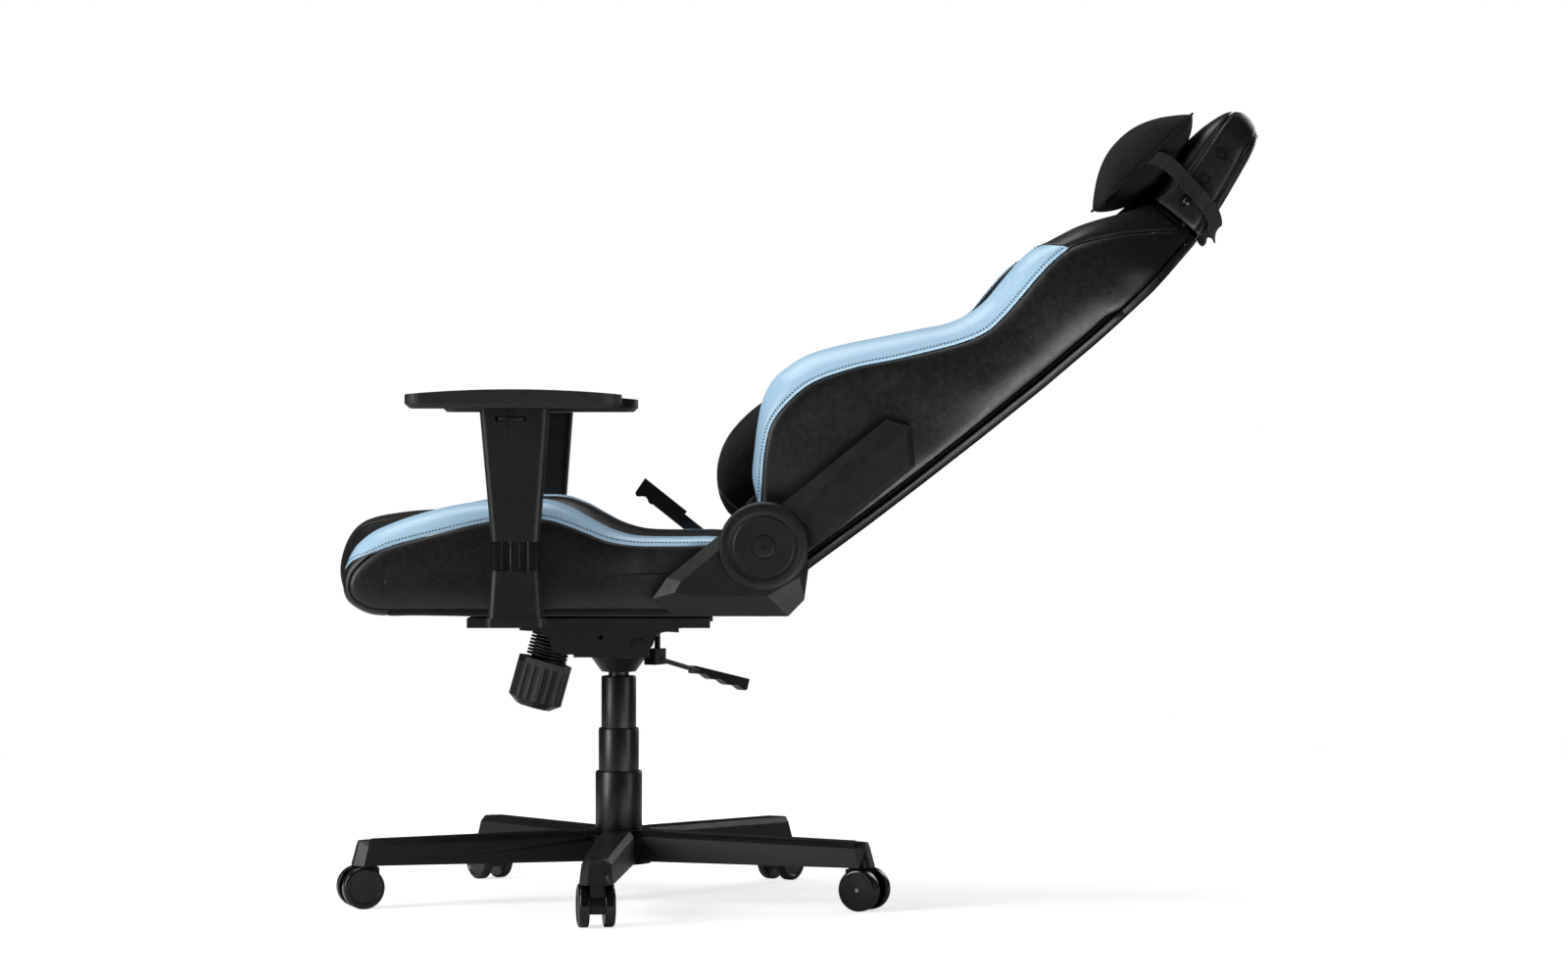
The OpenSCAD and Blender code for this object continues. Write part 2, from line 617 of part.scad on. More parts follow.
module arm_sleeve() color("#222324") difference() {
    tapered_block(arm_y, 62.5, 36, sleeve_bottom, arm_y - 1, 90, 44, sleeve_top);
    translate([arm_x, arm_y, sleeve_bottom - 1]) linear_extrude(153)
        square([post_t + 0.8, post_w + 0.8], center = true);
    // pocket for the height button
    translate([arm_x + 6, arm_y - 25, 655]) cube([30, 40, 6]);
    // moulded line across the button
    translate([arm_x + 20.4, arm_y - 8.6, 634]) cube([5, 1.2, 37]);
    // seat of the turntable
    translate([arm_x, arm_y, sleeve_top - 7]) cylinder(h = 10, r = 12 + pivot_play);
}

// The button's face is rounded along its length
module arm_button() color("#2e2f30") intersection() {
    translate([arm_x + 11, arm_y - 24.5, 655.4]) cube([13, 39, 5.2]);
    translate([arm_x - 16, arm_y - 5, 600]) cylinder(h = 100, r = 39);
}

// The disc on top of the sleeve that the arm pad turns and slides on
module arm_turntable() color("#1a1a1b") {
    translate([arm_x, arm_y, sleeve_top - 6.6]) cylinder(h = 7, r = 12);
    translate([arm_x - 16, arm_y - 40, sleeve_top + 0.4]) cube([32, 80, 8]);
}

module arm_pad_outline() hull() {
    translate([-24, -pad_length / 2 + 24]) circle(24, $fn = 32);
    translate([24, -pad_length / 2 + 24]) circle(23, $fn = 32);
    translate([-20, pad_length / 2 - 26]) circle(26, $fn = 32);
    translate([20, pad_length / 2 - 26]) circle(26, $fn = 32);
    translate([-pad_width / 2 + 10, -30]) circle(10, $fn = 32);
    translate([pad_width / 2 - 10, -30]) circle(10, $fn = 32);
}

module arm_pad() color("#161617") difference() {
    translate([arm_x + 8, arm_y - 2.5, 0]) intersection() {
        hull() {
            translate([0, 0, pad_bottom]) linear_extrude(0.5) offset(delta = -6.5) arm_pad_outline();
            translate([0, 0, pad_bottom + 6]) linear_extrude(18.5) arm_pad_outline();
        }
        // gentle crown along the length
        translate([-100, 0, 696 - pad_crown_r]) rotate([0, 90, 0])
            cylinder(h = 200, r = pad_crown_r, $fn = 256);
    }
    // track for the turntable
    translate([arm_x - 16.4, arm_y - 40 - pad_travel - 0.4, pad_bottom - 1])
        cube([32.8, 80.8 + 2 * pad_travel, 9.8]);
}

// ---- backrest ----

function rear_at(q) = lookup(q, [for (v = back_rear) [v[1], v[0]]]);
width_outline = concat(smooth(back_width), smooth(head_width));
front_outline = concat(width_outline, [for (v = flip(width_outline)) [-v[0], v[1]]]);

module back_shell() color("#242425") on_back() intersection() {
    slab(concat(smooth(back_rear), flip(shift(smooth(back_rear), [-shell_t, 0]))), -300, 300);
    front_slab(front_outline);
}

module back_pad() color("#1b1b1c") on_back() difference() {
    intersection() {
        slab(concat(smooth(panel_front), [[45, 858], [66, 858]],
            flip(shift(smooth(back_rear), [-shell_t - part_gap, 0]))), -300, 300);
        front_slab(front_outline);
        union() {
            translate([-panel_half_w, -200, 0]) cube([2 * panel_half_w, 400, 700]);
            translate([-head_half_w - 1, -200, 690]) cube([2 * head_half_w + 2, 400, 200]);
        }
    }
    // room for the frame
    slab(concat(shift(smooth([for (i = [0:9]) back_rear[i]]), [-cavity, 0]),
        [[60, 815]], [[130, 815], [160, 600], [160, 0], [30, 0]]), -120, 120);
    slab(concat(shift(smooth([for (i = [0:6]) back_rear[i]]), [-cavity, 0]),
        [[160, 600], [160, 0], [30, 0]]), -150, 150);
    socket_holes();
    frame_channels();
}

// Cross tubes that are welded to the hinge plates, as [p, q]
rails = [[34, 70], [48, 190]];
module frame_channels() for (v = rails) x_cylinder(-300, 300, v[0], v[1], 11);

// The bores that the strap sockets sit in, on both sides of the head section
module socket_holes() both_sides() for (i = [0:2])
    x_cylinder(head_half_w - 16, head_half_w + 10, socket_p[i], socket_q[i], 8.1);

module back_bolsters() color("#4f7fa3") on_back() both_sides() difference() {
    intersection() {
        slab(concat(smooth(bolster_crest), flip(shift(smooth([for (i = [0:7]) back_rear[i]]),
            [-shell_t - part_gap, 0]))), panel_half_w + part_gap, 300);
        front_slab(front_outline);
    }
    frame_channels();
}

// The steel tube frame inside the backrest
frame_rise = [60, 195, 330, 465, 600, 735];
frame_half_w = [138, 138, 138, 138, 100, 100];
function frame_point(i, x) = [x, rear_at(frame_rise[i]) - 26, frame_rise[i]];
module back_frame() color("#55575a") on_back() {
    both_sides() for (i = [0:4]) {
        bar(frame_point(i, frame_half_w[i]), frame_point(i + 1, frame_half_w[i + 1]), 8);
        translate(frame_point(i + 1, frame_half_w[i + 1])) sphere(r = 8.6);
    }
    for (v = rails) x_cylinder(-264.3, 264.3, v[0], v[1], 10);
    for (i = [2, 3, 5]) bar(frame_point(i, -frame_half_w[i]), frame_point(i, frame_half_w[i]), 7);
}

// Cups in the head section's sides: the strap's pegs sit in the lowest two
module strap_sockets() color("#0f0f10") on_back() both_sides() {
    for (i = [1:2]) difference() {
        union() {
            x_cylinder(head_half_w - 14, head_half_w - 1, socket_p[i], socket_q[i], 8);
            x_cylinder(head_half_w - 1.5, head_half_w + 2, socket_p[i], socket_q[i], 7.9);
        }
        x_cylinder(head_half_w + 2 - socket_depth, head_half_w + 3, socket_p[i], socket_q[i], socket_r);
    }
    x_cylinder(head_half_w - 14, head_half_w + 2, socket_p[0], socket_q[0], 8);
    translate([head_half_w + 5, socket_p[0], socket_q[0]]) sphere(r = 7.2);
}

module lumbar_cushion() color("#0c0c0d") on_back() intersection() {
    slab(smooth(lumbar_front), -150, 150);
    // the ends are rounded in plan
    translate([0, -40, 0]) linear_extrude(400) polygon([for (t = [0:10:180])
        [150 * cos(t), -24 - 78 * pow(sin(t), 0.5)]]);
}

// The head pillow's side outline as [p, q]
pillow_front = [[-7, 640], [-24, 652], [-38, 675], [-46, 705], [-47, 738], [-38, 767], [-22, 793], [-6, 808]];
pillow_back = [[8, 806], [19, 782], [22.5, 745], [23.5, 700], [21, 668], [10, 645]];
pillow_half_w = 146;

module head_pillow() color("#0d0d0e") on_back() intersection() {
    slab(concat(smooth(pillow_front), smooth(pillow_back)), -pillow_half_w, pillow_half_w);
    linear_extrude(900) polygon(concat(
        [for (t = [180:-10:0]) [pillow_half_w * cos(t), -12 - 40 * pow(sin(t), 0.6)]],
        [[pillow_half_w, 2], [118, 40], [-118, 40], [-pillow_half_w, 2]]));
}

// The elastic strap: a band from the pillow's ends round the back of the head section

module head_strap() color("#161617") on_back() both_sides()
    intersection() {
        linear_extrude(900) polygon(concat([[146.3, -18], [153.5, 10], [153, 70], [152, 120], [140, 140],
            [112, 147.5], [0, 149]], [[0, 147], [111, 145.5], [138, 138.5], [150, 119], [151, 70],
            [151.5, 10], [147.5, -10]]));
        slab([[-18, 702], [0, 716], [14, 726], [34, 730.5], [60, 729], [90, 728], [112, 724],
            [126, 716], [137, 704], [151, 696], [151, 712], [138, 729], [126, 743], [112, 749],
            [56, 749], [34, 750], [14, 746.5], [0, 739], [-18, 726]], 0, 200);
    }

base_star();
gas_outer_tube();
piston_rod();
shroud_lower();
shroud_middle();
shroud_upper();
gas_inner_cylinder();
valve_pin();
for (i = [1:leg_count]) {
    caster_hood(i);
    caster_wheel(i, 1);
    caster_wheel(i, -1);
}
mechanism_core();
tilt_axle();
tension_spring();
tension_knob();
height_lever_rod();
height_lever_grip();
tilt_housing();
seat_pan();
seat_pad();
seat_bolsters();
mounting_bolts();
hinge_seat_plates();
hinge_covers_lower();
hinge_discs();
recline_lever_arm();
recline_lever_grip();
arm_brackets();
arm_shells();
arm_sleeve();  // arm_sleeve_left
mirror([1, 0, 0]) arm_sleeve();  // arm_sleeve_right
arm_button();  // arm_button_left
mirror([1, 0, 0]) arm_button();  // arm_button_right
arm_turntable();  // arm_turntable_left
mirror([1, 0, 0]) arm_turntable();  // arm_turntable_right
arm_pad();  // arm_pad_left
mirror([1, 0, 0]) arm_pad();  // arm_pad_right
back_frame();
hinge_back_plates();
back_pad();
back_bolsters();
back_shell();
hinge_covers_upper();
strap_sockets();
lumbar_cushion();
head_pillow();
head_strap();
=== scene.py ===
import json
import math

import bpy
import numpy as np
from mathutils import Matrix, Vector, noise

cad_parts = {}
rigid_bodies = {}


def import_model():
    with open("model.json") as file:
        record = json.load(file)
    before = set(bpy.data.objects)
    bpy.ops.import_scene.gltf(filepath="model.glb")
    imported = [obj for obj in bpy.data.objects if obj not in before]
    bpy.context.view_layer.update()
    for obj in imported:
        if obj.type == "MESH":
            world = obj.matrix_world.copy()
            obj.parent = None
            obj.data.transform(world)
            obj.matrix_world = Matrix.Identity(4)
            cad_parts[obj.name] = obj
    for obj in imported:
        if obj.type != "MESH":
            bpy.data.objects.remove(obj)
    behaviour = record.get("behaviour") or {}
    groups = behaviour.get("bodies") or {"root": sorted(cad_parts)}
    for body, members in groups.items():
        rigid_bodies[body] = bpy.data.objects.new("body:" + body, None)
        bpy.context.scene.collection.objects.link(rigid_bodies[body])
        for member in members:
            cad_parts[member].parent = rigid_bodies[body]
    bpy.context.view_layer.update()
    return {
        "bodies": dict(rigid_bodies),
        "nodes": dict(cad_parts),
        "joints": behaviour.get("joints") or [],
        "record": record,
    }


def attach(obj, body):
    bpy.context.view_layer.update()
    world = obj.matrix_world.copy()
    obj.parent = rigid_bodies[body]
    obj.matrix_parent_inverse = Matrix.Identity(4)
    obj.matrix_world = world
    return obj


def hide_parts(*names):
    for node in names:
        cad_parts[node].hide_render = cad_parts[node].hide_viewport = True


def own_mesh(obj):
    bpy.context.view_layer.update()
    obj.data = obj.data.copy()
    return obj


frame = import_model()
nodes = frame["nodes"]

# Shapes are written in millimetres. Backrest shapes are written as (x, p, q): p is backwards and q is
# up the back, both from the recline pivot.
MM = 0.001
recline = next(j for j in frame["joints"] if j["name"] == "back_recline")
BACK = Matrix.Translation(recline["pos_m"]) @ Matrix.Rotation(math.radians(-45), 4, "X")


# ---- materials ----

def add(mat, kind, inputs=None, **settings):
    """A node of that kind; inputs maps a socket's name or number to a value or to the output feeding it"""
    made = mat.node_tree.nodes.new(kind)
    for name, value in settings.items():
        setattr(made, name, value)
    for socket, value in (inputs or {}).items():
        if isinstance(value, bpy.types.NodeSocket):
            mat.node_tree.links.new(value, made.inputs[socket])
        else:
            made.inputs[socket].default_value = value
    return made


def principled(name, **values):
    mat = bpy.data.materials.new(name)
    mat.use_nodes = True
    shader = mat.node_tree.nodes["Principled BSDF"]
    for socket, value in values.items():
        shader.inputs[socket.replace("_", " ")].default_value = value
    return mat, shader


def link(mat, output, shader, socket):
    mat.node_tree.links.new(output, shader.inputs[socket])


def rgb(color):
    return (*color, 1)


def place(mat, stretch=(1, 1, 1), turn=(0, 0, 0)):
    """Object coordinates, stretched and turned"""
    spot = add(mat, "ShaderNodeTexCoord").outputs["Object"]
    return add(mat, "ShaderNodeMapping", {"Vector": spot, "Rotation": turn, "Scale": stretch}).outputs[0]


def blotches(mat, vector, scale, detail=3.0):
    ports = {"Vector": vector, "Scale": scale, "Detail": detail}
    return add(mat, "ShaderNodeTexNoise", ports).outputs["Fac"]


def remap(mat, value, low, high, start=0.3, end=0.7):
    ports = {"Value": value, "From Min": start, "From Max": end, "To Min": low, "To Max": high}
    return add(mat, "ShaderNodeMapRange", ports).outputs[0]


def tint(mat, factor, dark, light):
    ports = {0: factor, 6: rgb(dark), 7: rgb(light)}
    return add(mat, "ShaderNodeMix", ports, data_type="RGBA").outputs[2]


def weigh(mat, a, b, share):
    """a plus b times share"""
    return add(mat, "ShaderNodeMath", {0: b, 1: share, 2: a}, operation="MULTIPLY_ADD").outputs[0]


def bump(mat, shader, height, strength, distance):
    ports = {"Height": height, "Strength": strength, "Distance": distance}
    link(mat, add(mat, "ShaderNodeBump", ports).outputs[0], shader, "Normal")


def leather(name, dark, light, rough, coat):
    mat, shader = principled(name, Coat_Weight=coat, Coat_Roughness=0.22, Specular_IOR_Level=0.5)
    spot = place(mat)
    link(mat, tint(mat, blotches(mat, spot, 9), dark, light), shader, "Base Color")
    cells = add(mat, "ShaderNodeTexVoronoi", {"Vector": spot, "Scale": 620}, feature="F1")
    folds = blotches(mat, spot, 42, 5)
    link(mat, remap(mat, blotches(mat, spot, 120, 2), rough - 0.05, rough + 0.06), shader, "Roughness")
    bump(mat, shader, weigh(mat, cells.outputs["Distance"], folds, 2.2), 0.1, 0.0007)
    return mat


def knit(name, dark, light, pitch, sheen):
    """A close knit: fine rows across a finer zigzag"""
    mat, shader = principled(name, Sheen_Weight=sheen, Sheen_Roughness=0.45, Specular_IOR_Level=0.2)
    spot = place(mat, turn=(math.radians(45), 0, 0))
    rows = add(mat, "ShaderNodeTexWave", {"Vector": spot, "Scale": 0.32 / pitch, "Distortion": 1.5},
               bands_direction="Z").outputs["Fac"]
    stitches = add(mat, "ShaderNodeTexWave", {"Vector": spot, "Scale": 0.32 / pitch, "Distortion": 1.2},
                   bands_direction="X").outputs["Fac"]
    weave = add(mat, "ShaderNodeMath", {0: rows, 1: stitches}, operation="MULTIPLY").outputs[0]
    shade = weigh(mat, weave, blotches(mat, spot, 30), 0.7)
    link(mat, tint(mat, remap(mat, shade, 0, 1, 0.2, 1.2), dark, light), shader, "Base Color")
    link(mat, remap(mat, blotches(mat, spot, 200), 0.78, 0.95), shader, "Roughness")
    bump(mat, shader, weave, 0.55, 0.0006)
    return mat


def moulded(name, dark, light, rough, texture=0.12, **values):
    """Moulded plastic with a fine spark-eroded texture"""
    mat, shader = principled(name, **values)
    spot = place(mat)
    link(mat, tint(mat, blotches(mat, spot, 14), dark, light), shader, "Base Color")
    link(mat, remap(mat, blotches(mat, spot, 60, 4), rough - 0.04, rough + 0.05), shader, "Roughness")
    bump(mat, shader, blotches(mat, spot, 1500, 2), texture, 0.0002)
    return mat


def metal(name, dark, light, rough, stretch, metallic=1.0, texture=0.1):
    """Drawn or brushed metal, its fine lines along the axis that stretch leaves short"""
    mat, shader = principled(name, Metallic=metallic)
    spot = place(mat, stretch)
    lines = blotches(mat, spot, 60, 3)
    link(mat, tint(mat, lines, dark, light), shader, "Base Color")
    link(mat, remap(mat, lines, rough - 0.05, rough + 0.05), shader, "Roughness")
    bump(mat, shader, lines, texture, 0.0001)
    return mat


BLACK = leather("leather_black", (0.0028, 0.0028, 0.003), (0.0048, 0.0048, 0.005), 0.4, 0.0)
BLUE = leather("leather_blue", (0.37, 0.58, 0.76), (0.42, 0.63, 0.8), 0.34, 0.3)
KNIT = knit("knit_black", (0.002, 0.002, 0.0022), (0.008, 0.008, 0.0085), 0.0016, 0.04)
ELASTIC = knit("elastic_strap", (0.006, 0.006, 0.0065), (0.024, 0.024, 0.025), 0.0011, 0.1)
LINING = knit("seat_lining", (0.004, 0.004, 0.0045), (0.012, 0.012, 0.013), 0.0022, 0.05)
NYLON = moulded("base_nylon", (0.0035, 0.0037, 0.0037), (0.0065, 0.0067, 0.0067), 0.46, 0.3)
COVER = moulded("cover_plastic", (0.005, 0.0053, 0.0053), (0.008, 0.0083, 0.0083), 0.42,
                Specular_IOR_Level=0.32)
ARM_PLASTIC = moulded("arm_plastic", (0.005, 0.0052, 0.0054), (0.0085, 0.0087, 0.009), 0.4,
                      Specular_IOR_Level=0.4)
SOFT_PAD = moulded("arm_soft", (0.004, 0.004, 0.0042), (0.007, 0.007, 0.0072), 0.52, 0.3)
GLOSS = moulded("caster_black", (0.004, 0.004, 0.0042), (0.006, 0.006, 0.0062), 0.2, 0.04)
HOOD = moulded("caster_hood", (0.0035, 0.0035, 0.0036), (0.006, 0.006, 0.0062), 0.34,
               Specular_IOR_Level=0.35)
SHROUD = moulded("shroud_plastic", (0.004, 0.004, 0.0042), (0.007, 0.007, 0.0072), 0.34, 0.25)
PAINTED = moulded("steel_black", (0.003, 0.0031, 0.0032), (0.0055, 0.0056, 0.0058), 0.36, 0.15)
POST = metal("arm_post", (0.1, 0.1, 0.102), (0.12, 0.12, 0.123), 0.2, (1, 1, 0.1), 1.0, 0.02)
STEEL = metal("steel_bright", (0.35, 0.35, 0.36), (0.55, 0.55, 0.56), 0.3, (1, 1, 12))
BOARD = moulded("seat_board", (0.05, 0.035, 0.022), (0.09, 0.065, 0.04), 0.7, 0.4)
DARK_THREAD = moulded("thread_dark", (0.006, 0.007, 0.009), (0.014, 0.016, 0.02), 0.6, 0.5)
GREY_THREAD = moulded("thread_grey", (0.045, 0.045, 0.047), (0.08, 0.08, 0.083), 0.6, 0.5)
PIPING = moulded("piping_grey", (0.03, 0.03, 0.032), (0.055, 0.055, 0.058), 0.5, 0.4)


# ---- surfaces lofted through a grid of points ----

def weights(places, count, closed):
    """How much each of count points bears on each place along a smooth line, and on its slope"""
    share, slope = np.zeros((len(places), count)), np.zeros((len(places), count))
    for row, spot in enumerate(places):
        i = min(int(spot), count - (1 if closed else 2))
        f = spot - i
        shares = (-f + 2 * f ** 2 - f ** 3, 2 - 5 * f ** 2 + 3 * f ** 3, f + 4 * f ** 2 - 3 * f ** 3,
                  f ** 3 - f ** 2)
        slopes = (-1 + 4 * f - 3 * f ** 2, 9 * f ** 2 - 10 * f, 1 + 8 * f - 9 * f ** 2, 3 * f ** 2 - 2 * f)
        for k in range(4):
            j = (i - 1 + k) % count if closed else min(max(i - 1 + k, 0), count - 1)
            share[row, j] += shares[k] / 2
            slope[row, j] += slopes[k] / 2
    return share, slope


def roll(distance, depth, width):
    """How deep a surface rolls in towards a seam at that distance from it"""
    near = np.clip(1 - distance / width, 0, 1)
    return depth * (1 - np.sqrt(1 - near * near))


class Loft:
    """A smooth surface through rows of points. Each row lists one side's points from the middle out, and
    MIRRORED of them are repeated on the other side so that the middle is smooth."""
    MIRRORED = 4

    def __init__(self, rows, closed=False, outward=1, frame=None):
        half = np.array(rows, float) * MM
        other = half[:, self.MIRRORED:0:-1] * (-1, 1, 1)
        self.net = np.concatenate([other, half], 1)
        self.closed, self.outward, self.frame = closed, outward, frame
        self.last_row = self.net.shape[0] - (0 if closed else 1)

    def at(self, u, v):
        """Points and unit outward normals at row places u and column places v, the same in every row or
        a row of them for each place in u"""
        v = np.broadcast_to(np.asarray(v, float) + self.MIRRORED, (len(u), np.shape(v)[-1]))
        wu, du = weights(u, self.net.shape[0], self.closed)
        wv, dv = (w.reshape(*v.shape, -1) for w in weights(v.ravel(), self.net.shape[1], False))

        def mix(a, b):
            return np.einsum("nmj,njk->nmk", b, np.einsum("ni,ijk->njk", a, self.net))
        across = np.cross(mix(du, wv), mix(wu, dv)) * self.outward
        size = np.linalg.norm(across, axis=2, keepdims=True)
        return mix(wu, wv), across / np.maximum(size, 1e-12)

    def world(self, points):
        if self.frame is None:
            return points
        turn = np.array(self.frame)
        return points @ turn[:3, :3].T + turn[:3, 3]


# Places within a span, closer together beside a seam at its start
BESIDE_SEAM = (0, 0.025, 0.07, 0.14, 0.24, 0.38, 0.55, 0.77)


def places(first, last, steps, seam_first, seam_last):
    """Places from first to last with steps to a span, closer together beside a seam"""
    found = []
    for i in range(first, last):
        span = [k / steps for k in range(steps)]
        if i == first and seam_first and i == last - 1 and seam_last:
            span = [t / 2 for t in BESIDE_SEAM] + [1 - t / 2 for t in (1, *BESIDE_SEAM[:0:-1])]
        elif i == first and seam_first:
            span = BESIDE_SEAM
        elif i == last - 1 and seam_last:
            span = [0] + [1 - t for t in BESIDE_SEAM[:0:-1]]
        found += [i + t for t in span]
    return np.array(found + [last], float)


def mesh_object(name, points, faces, material):
    mesh = bpy.data.meshes.new(name)
    mesh.from_pydata([tuple(p) for p in points], [], faces)
    mesh.polygons.foreach_set("use_smooth", [True] * len(mesh.polygons))
    mesh.materials.append(material)
    made = bpy.data.objects.new(name, mesh)
    bpy.context.scene.collection.objects.link(made)
    return made


def grid_faces(rows, columns, start=0, closed=False, flip=False):
    faces = []
    for i in range(rows if closed else rows - 1):
        for j in range(columns - 1):
            a, b = start + i * columns + j, start + (i + 1) % rows * columns + j
            faces.append((a, a + 1, b + 1, b) if flip else (a, b, b + 1, a + 1))
    return faces


def lumps(points, size, height):
    """Low soft unevenness, as stuffed leather has"""
    flat = points.reshape(-1, 3)
    return np.array([noise.noise(Vector(p) / size) for p in flat]).reshape(points.shape[:2]) * height


def column_at(column, u):
    """A column's place in each row: the column is a number or a function of the row"""
    return column(u) if callable(column) else np.full(len(u), float(column))


def room(points, axis, width):
    """How much of its full depth a seam has room for where a patch narrows"""
    across = np.linalg.norm(np.diff(points, axis=axis), axis=2).sum(axis)
    return np.clip(across / (2.5 * width * MM), 0, 1) ** 2


def patch(name, loft, rows, columns, material, seams="lrbt", depth=3.5, width=9.0, steps=(5, 5),
          both=True, trench=0.0, uneven=0.7):
    """The part of a loft between two rows and two columns, rolled in at its seams: l and r are its first
    and last columns, b and t its first and last rows. A trench sinks the whole of it."""
    whole = loft.closed and rows == (0, loft.last_row)
    u = places(*rows, steps[0], "b" in seams, "t" in seams)
    if whole:
        u = u[:-1]
    start, end = (column_at(c, u)[:, None] for c in columns)
    spans = round(float((end - start).max()))
    v = start + (end - start) * places(0, spans, steps[1], "l" in seams, "r" in seams) / spans
    points, normals = loft.at(u, v)
    bare = (normals[:, -1] * normals[:, -2]).sum(1) < 0.9
    normals[bare, -1] = normals[bare, -2]
    sink = np.zeros(points.shape[:2])
    edges = {"l": points[:, :1], "r": points[:, -1:], "b": points[:1], "t": points[-1:]}
    rooms = {"lr": room(points, 1, width)[:, None], "bt": room(points, 0, width)[None, :]}
    nearest = np.full(points.shape[:2], 1.0)
    for side in seams:
        distance = np.linalg.norm(points - edges[side], axis=2)
        sink += roll(distance, depth * MM, width * MM) * rooms["lr" if side in "lr" else "bt"]
        nearest = np.minimum(nearest, distance)
    if trench:
        sink += trench * MM * np.clip(nearest / (1.5 * MM), 0, 1)
    swell = lumps(points, 0.045, uneven * MM) * np.clip(nearest / (20 * MM), 0, 1)
    points = points + normals * (swell - sink)[:, :, None]
    n, m = points.shape[:2]
    flip = loft.outward < 0
    coordinates = [loft.world(points).reshape(-1, 3)]
    faces = grid_faces(n, m, 0, whole, flip)
    if both:
        coordinates.append(loft.world(points * (-1, 1, 1)).reshape(-1, 3))
        faces += grid_faces(n, m, n * m, whole, not flip)
    return mesh_object(name, np.concatenate(coordinates), faces, material)


def seam_line(loft, rows, column, side, offset, depth=3.5, width=9.0, step=0.1):
    """Points and normals along a column's seam, offset to one side of it on the rolled surface"""
    u = np.arange(rows[0], rows[1] + step / 2, step)
    column = column_at(column, u)[:, None]
    edge, normal = loft.at(u, column)
    beside = loft.at(u, column + side * 0.05)[0]
    across = beside - edge
    across /= np.maximum(np.linalg.norm(across, axis=2, keepdims=True), 1e-12)
    sink = roll(np.array(offset * MM), depth * MM, width * MM)
    return (edge + across * offset * MM - normal * sink)[:, 0], normal[:, 0]


def row_line(loft, row, columns, side, offset, depth=3.5, width=9.0, step=0.1):
    """Points and normals along a row's seam, offset to one side of it on the rolled surface"""
    v = np.arange(columns[0], columns[1] + step / 2, step)
    edge, normal = loft.at([row], v)
    across = loft.at([row + side * 0.05], v)[0] - edge
    across /= np.maximum(np.linalg.norm(across, axis=2, keepdims=True), 1e-12)
    sink = roll(np.array(offset * MM), depth * MM, width * MM)
    return (edge + across * offset * MM - normal * sink)[0], normal[0]


def evenly(points, pitch):
    """Where along a line of points each step of that pitch falls, as (segment, share) pairs"""
    lengths = np.linalg.norm(np.diff(points, axis=0), axis=1)
    along = np.concatenate([[0], np.cumsum(lengths)])
    spots = np.arange(pitch / 2, along[-1], pitch)
    segment = np.clip(np.searchsorted(along, spots, "right") - 1, 0, len(lengths) - 1)
    return segment, (spots - along[segment]) / np.maximum(lengths[segment], 1e-12)


def stitches(name, loft, lines, material, pitch=4.6, length=2.9, radius=0.7):
    """Rows of small thread stitches along lines on both sides of a loft"""
    verts, faces = [], []
    for points, normals in lines:
        segment, share = evenly(points, pitch * MM)
        for i, t in zip(segment, share):
            spot = points[i] * (1 - t) + points[i + 1] * t
            along = points[i + 1] - points[i]
            along /= max(np.linalg.norm(along), 1e-12)
            up = normals[i]
            side = np.cross(up, along)
            ring = []
            for reach, girth in ((-0.5, 0.35), (-0.3, 1), (0.3, 1), (0.5, 0.35)):
                for k in range(6):
                    a = k * math.pi / 3
                    ring.append(spot + along * reach * length * MM + (
                        side * math.cos(a) + up * (math.sin(a) + 0.25)) * girth * radius * MM)
            for flip in (1, -1):
                start = len(verts)
                verts += [p * (flip, 1, 1) for p in ring]
                for r in range(3):
                    for k in range(6):
                        a, b = start + r * 6 + k, start + r * 6 + (k + 1) % 6
                        faces.append((a, b, b + 6, a + 6) if flip > 0 else (a, a + 6, b + 6, b))
                faces.append(tuple(start + k for k in (range(5, -1, -1) if flip > 0 else range(6))))
                faces.append(tuple(start + 18 + k for k in (range(6) if flip > 0 else range(5, -1, -1))))
    return mesh_object(name, loft.world(np.array(verts)), faces, material)


def tube(name, points, radius, material, sides=8, closed=False, frame=None):
    """A round tube along a line of points in millimetres"""
    path = np.array(points, float) * MM
    count = len(path)
    verts, faces = [], []
    side = None
    for i in range(count):
        ahead = path[(i + 1) % count if closed else min(i + 1, count - 1)]
        behind = path[(i - 1) % count if closed else max(i - 1, 0)]
        along = (ahead - behind) / max(np.linalg.norm(ahead - behind), 1e-12)
        if side is None:
            side = np.cross(along, (0.3, 0.5, 0.8))
        side = side - along * side.dot(along)
        side /= np.linalg.norm(side)
        up = np.cross(along, side)
        for k in range(sides):
            a = 2 * math.pi * k / sides
            verts.append(path[i] + (side * math.cos(a) + up * math.sin(a)) * radius * MM)
    for i in range(count if closed else count - 1):
        for k in range(sides):
            a, b = i * sides + k, i * sides + (k + 1) % sides
            c, d = (i + 1) % count * sides + k, (i + 1) % count * sides + (k + 1) % sides
            faces.append((a, b, d, c))
    if not closed:
        faces += [tuple(range(sides - 1, -1, -1)), tuple(range(len(verts) - sides, len(verts)))]
    verts = np.array(verts)
    if frame is not None:
        turn = np.array(frame)
        verts = verts @ turn[:3, :3].T + turn[:3, 3]
    return mesh_object(name, verts, faces, material)


def own(body, material_slot, *pieces, fill=None, stands_for=()):
    """Puts pieces on a body and hides the parts that they stand for; the slot name is not used"""
    for piece in pieces:
        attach(piece, body)
    if stands_for:
        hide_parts(*stands_for)


# ---- seat upholstery ----

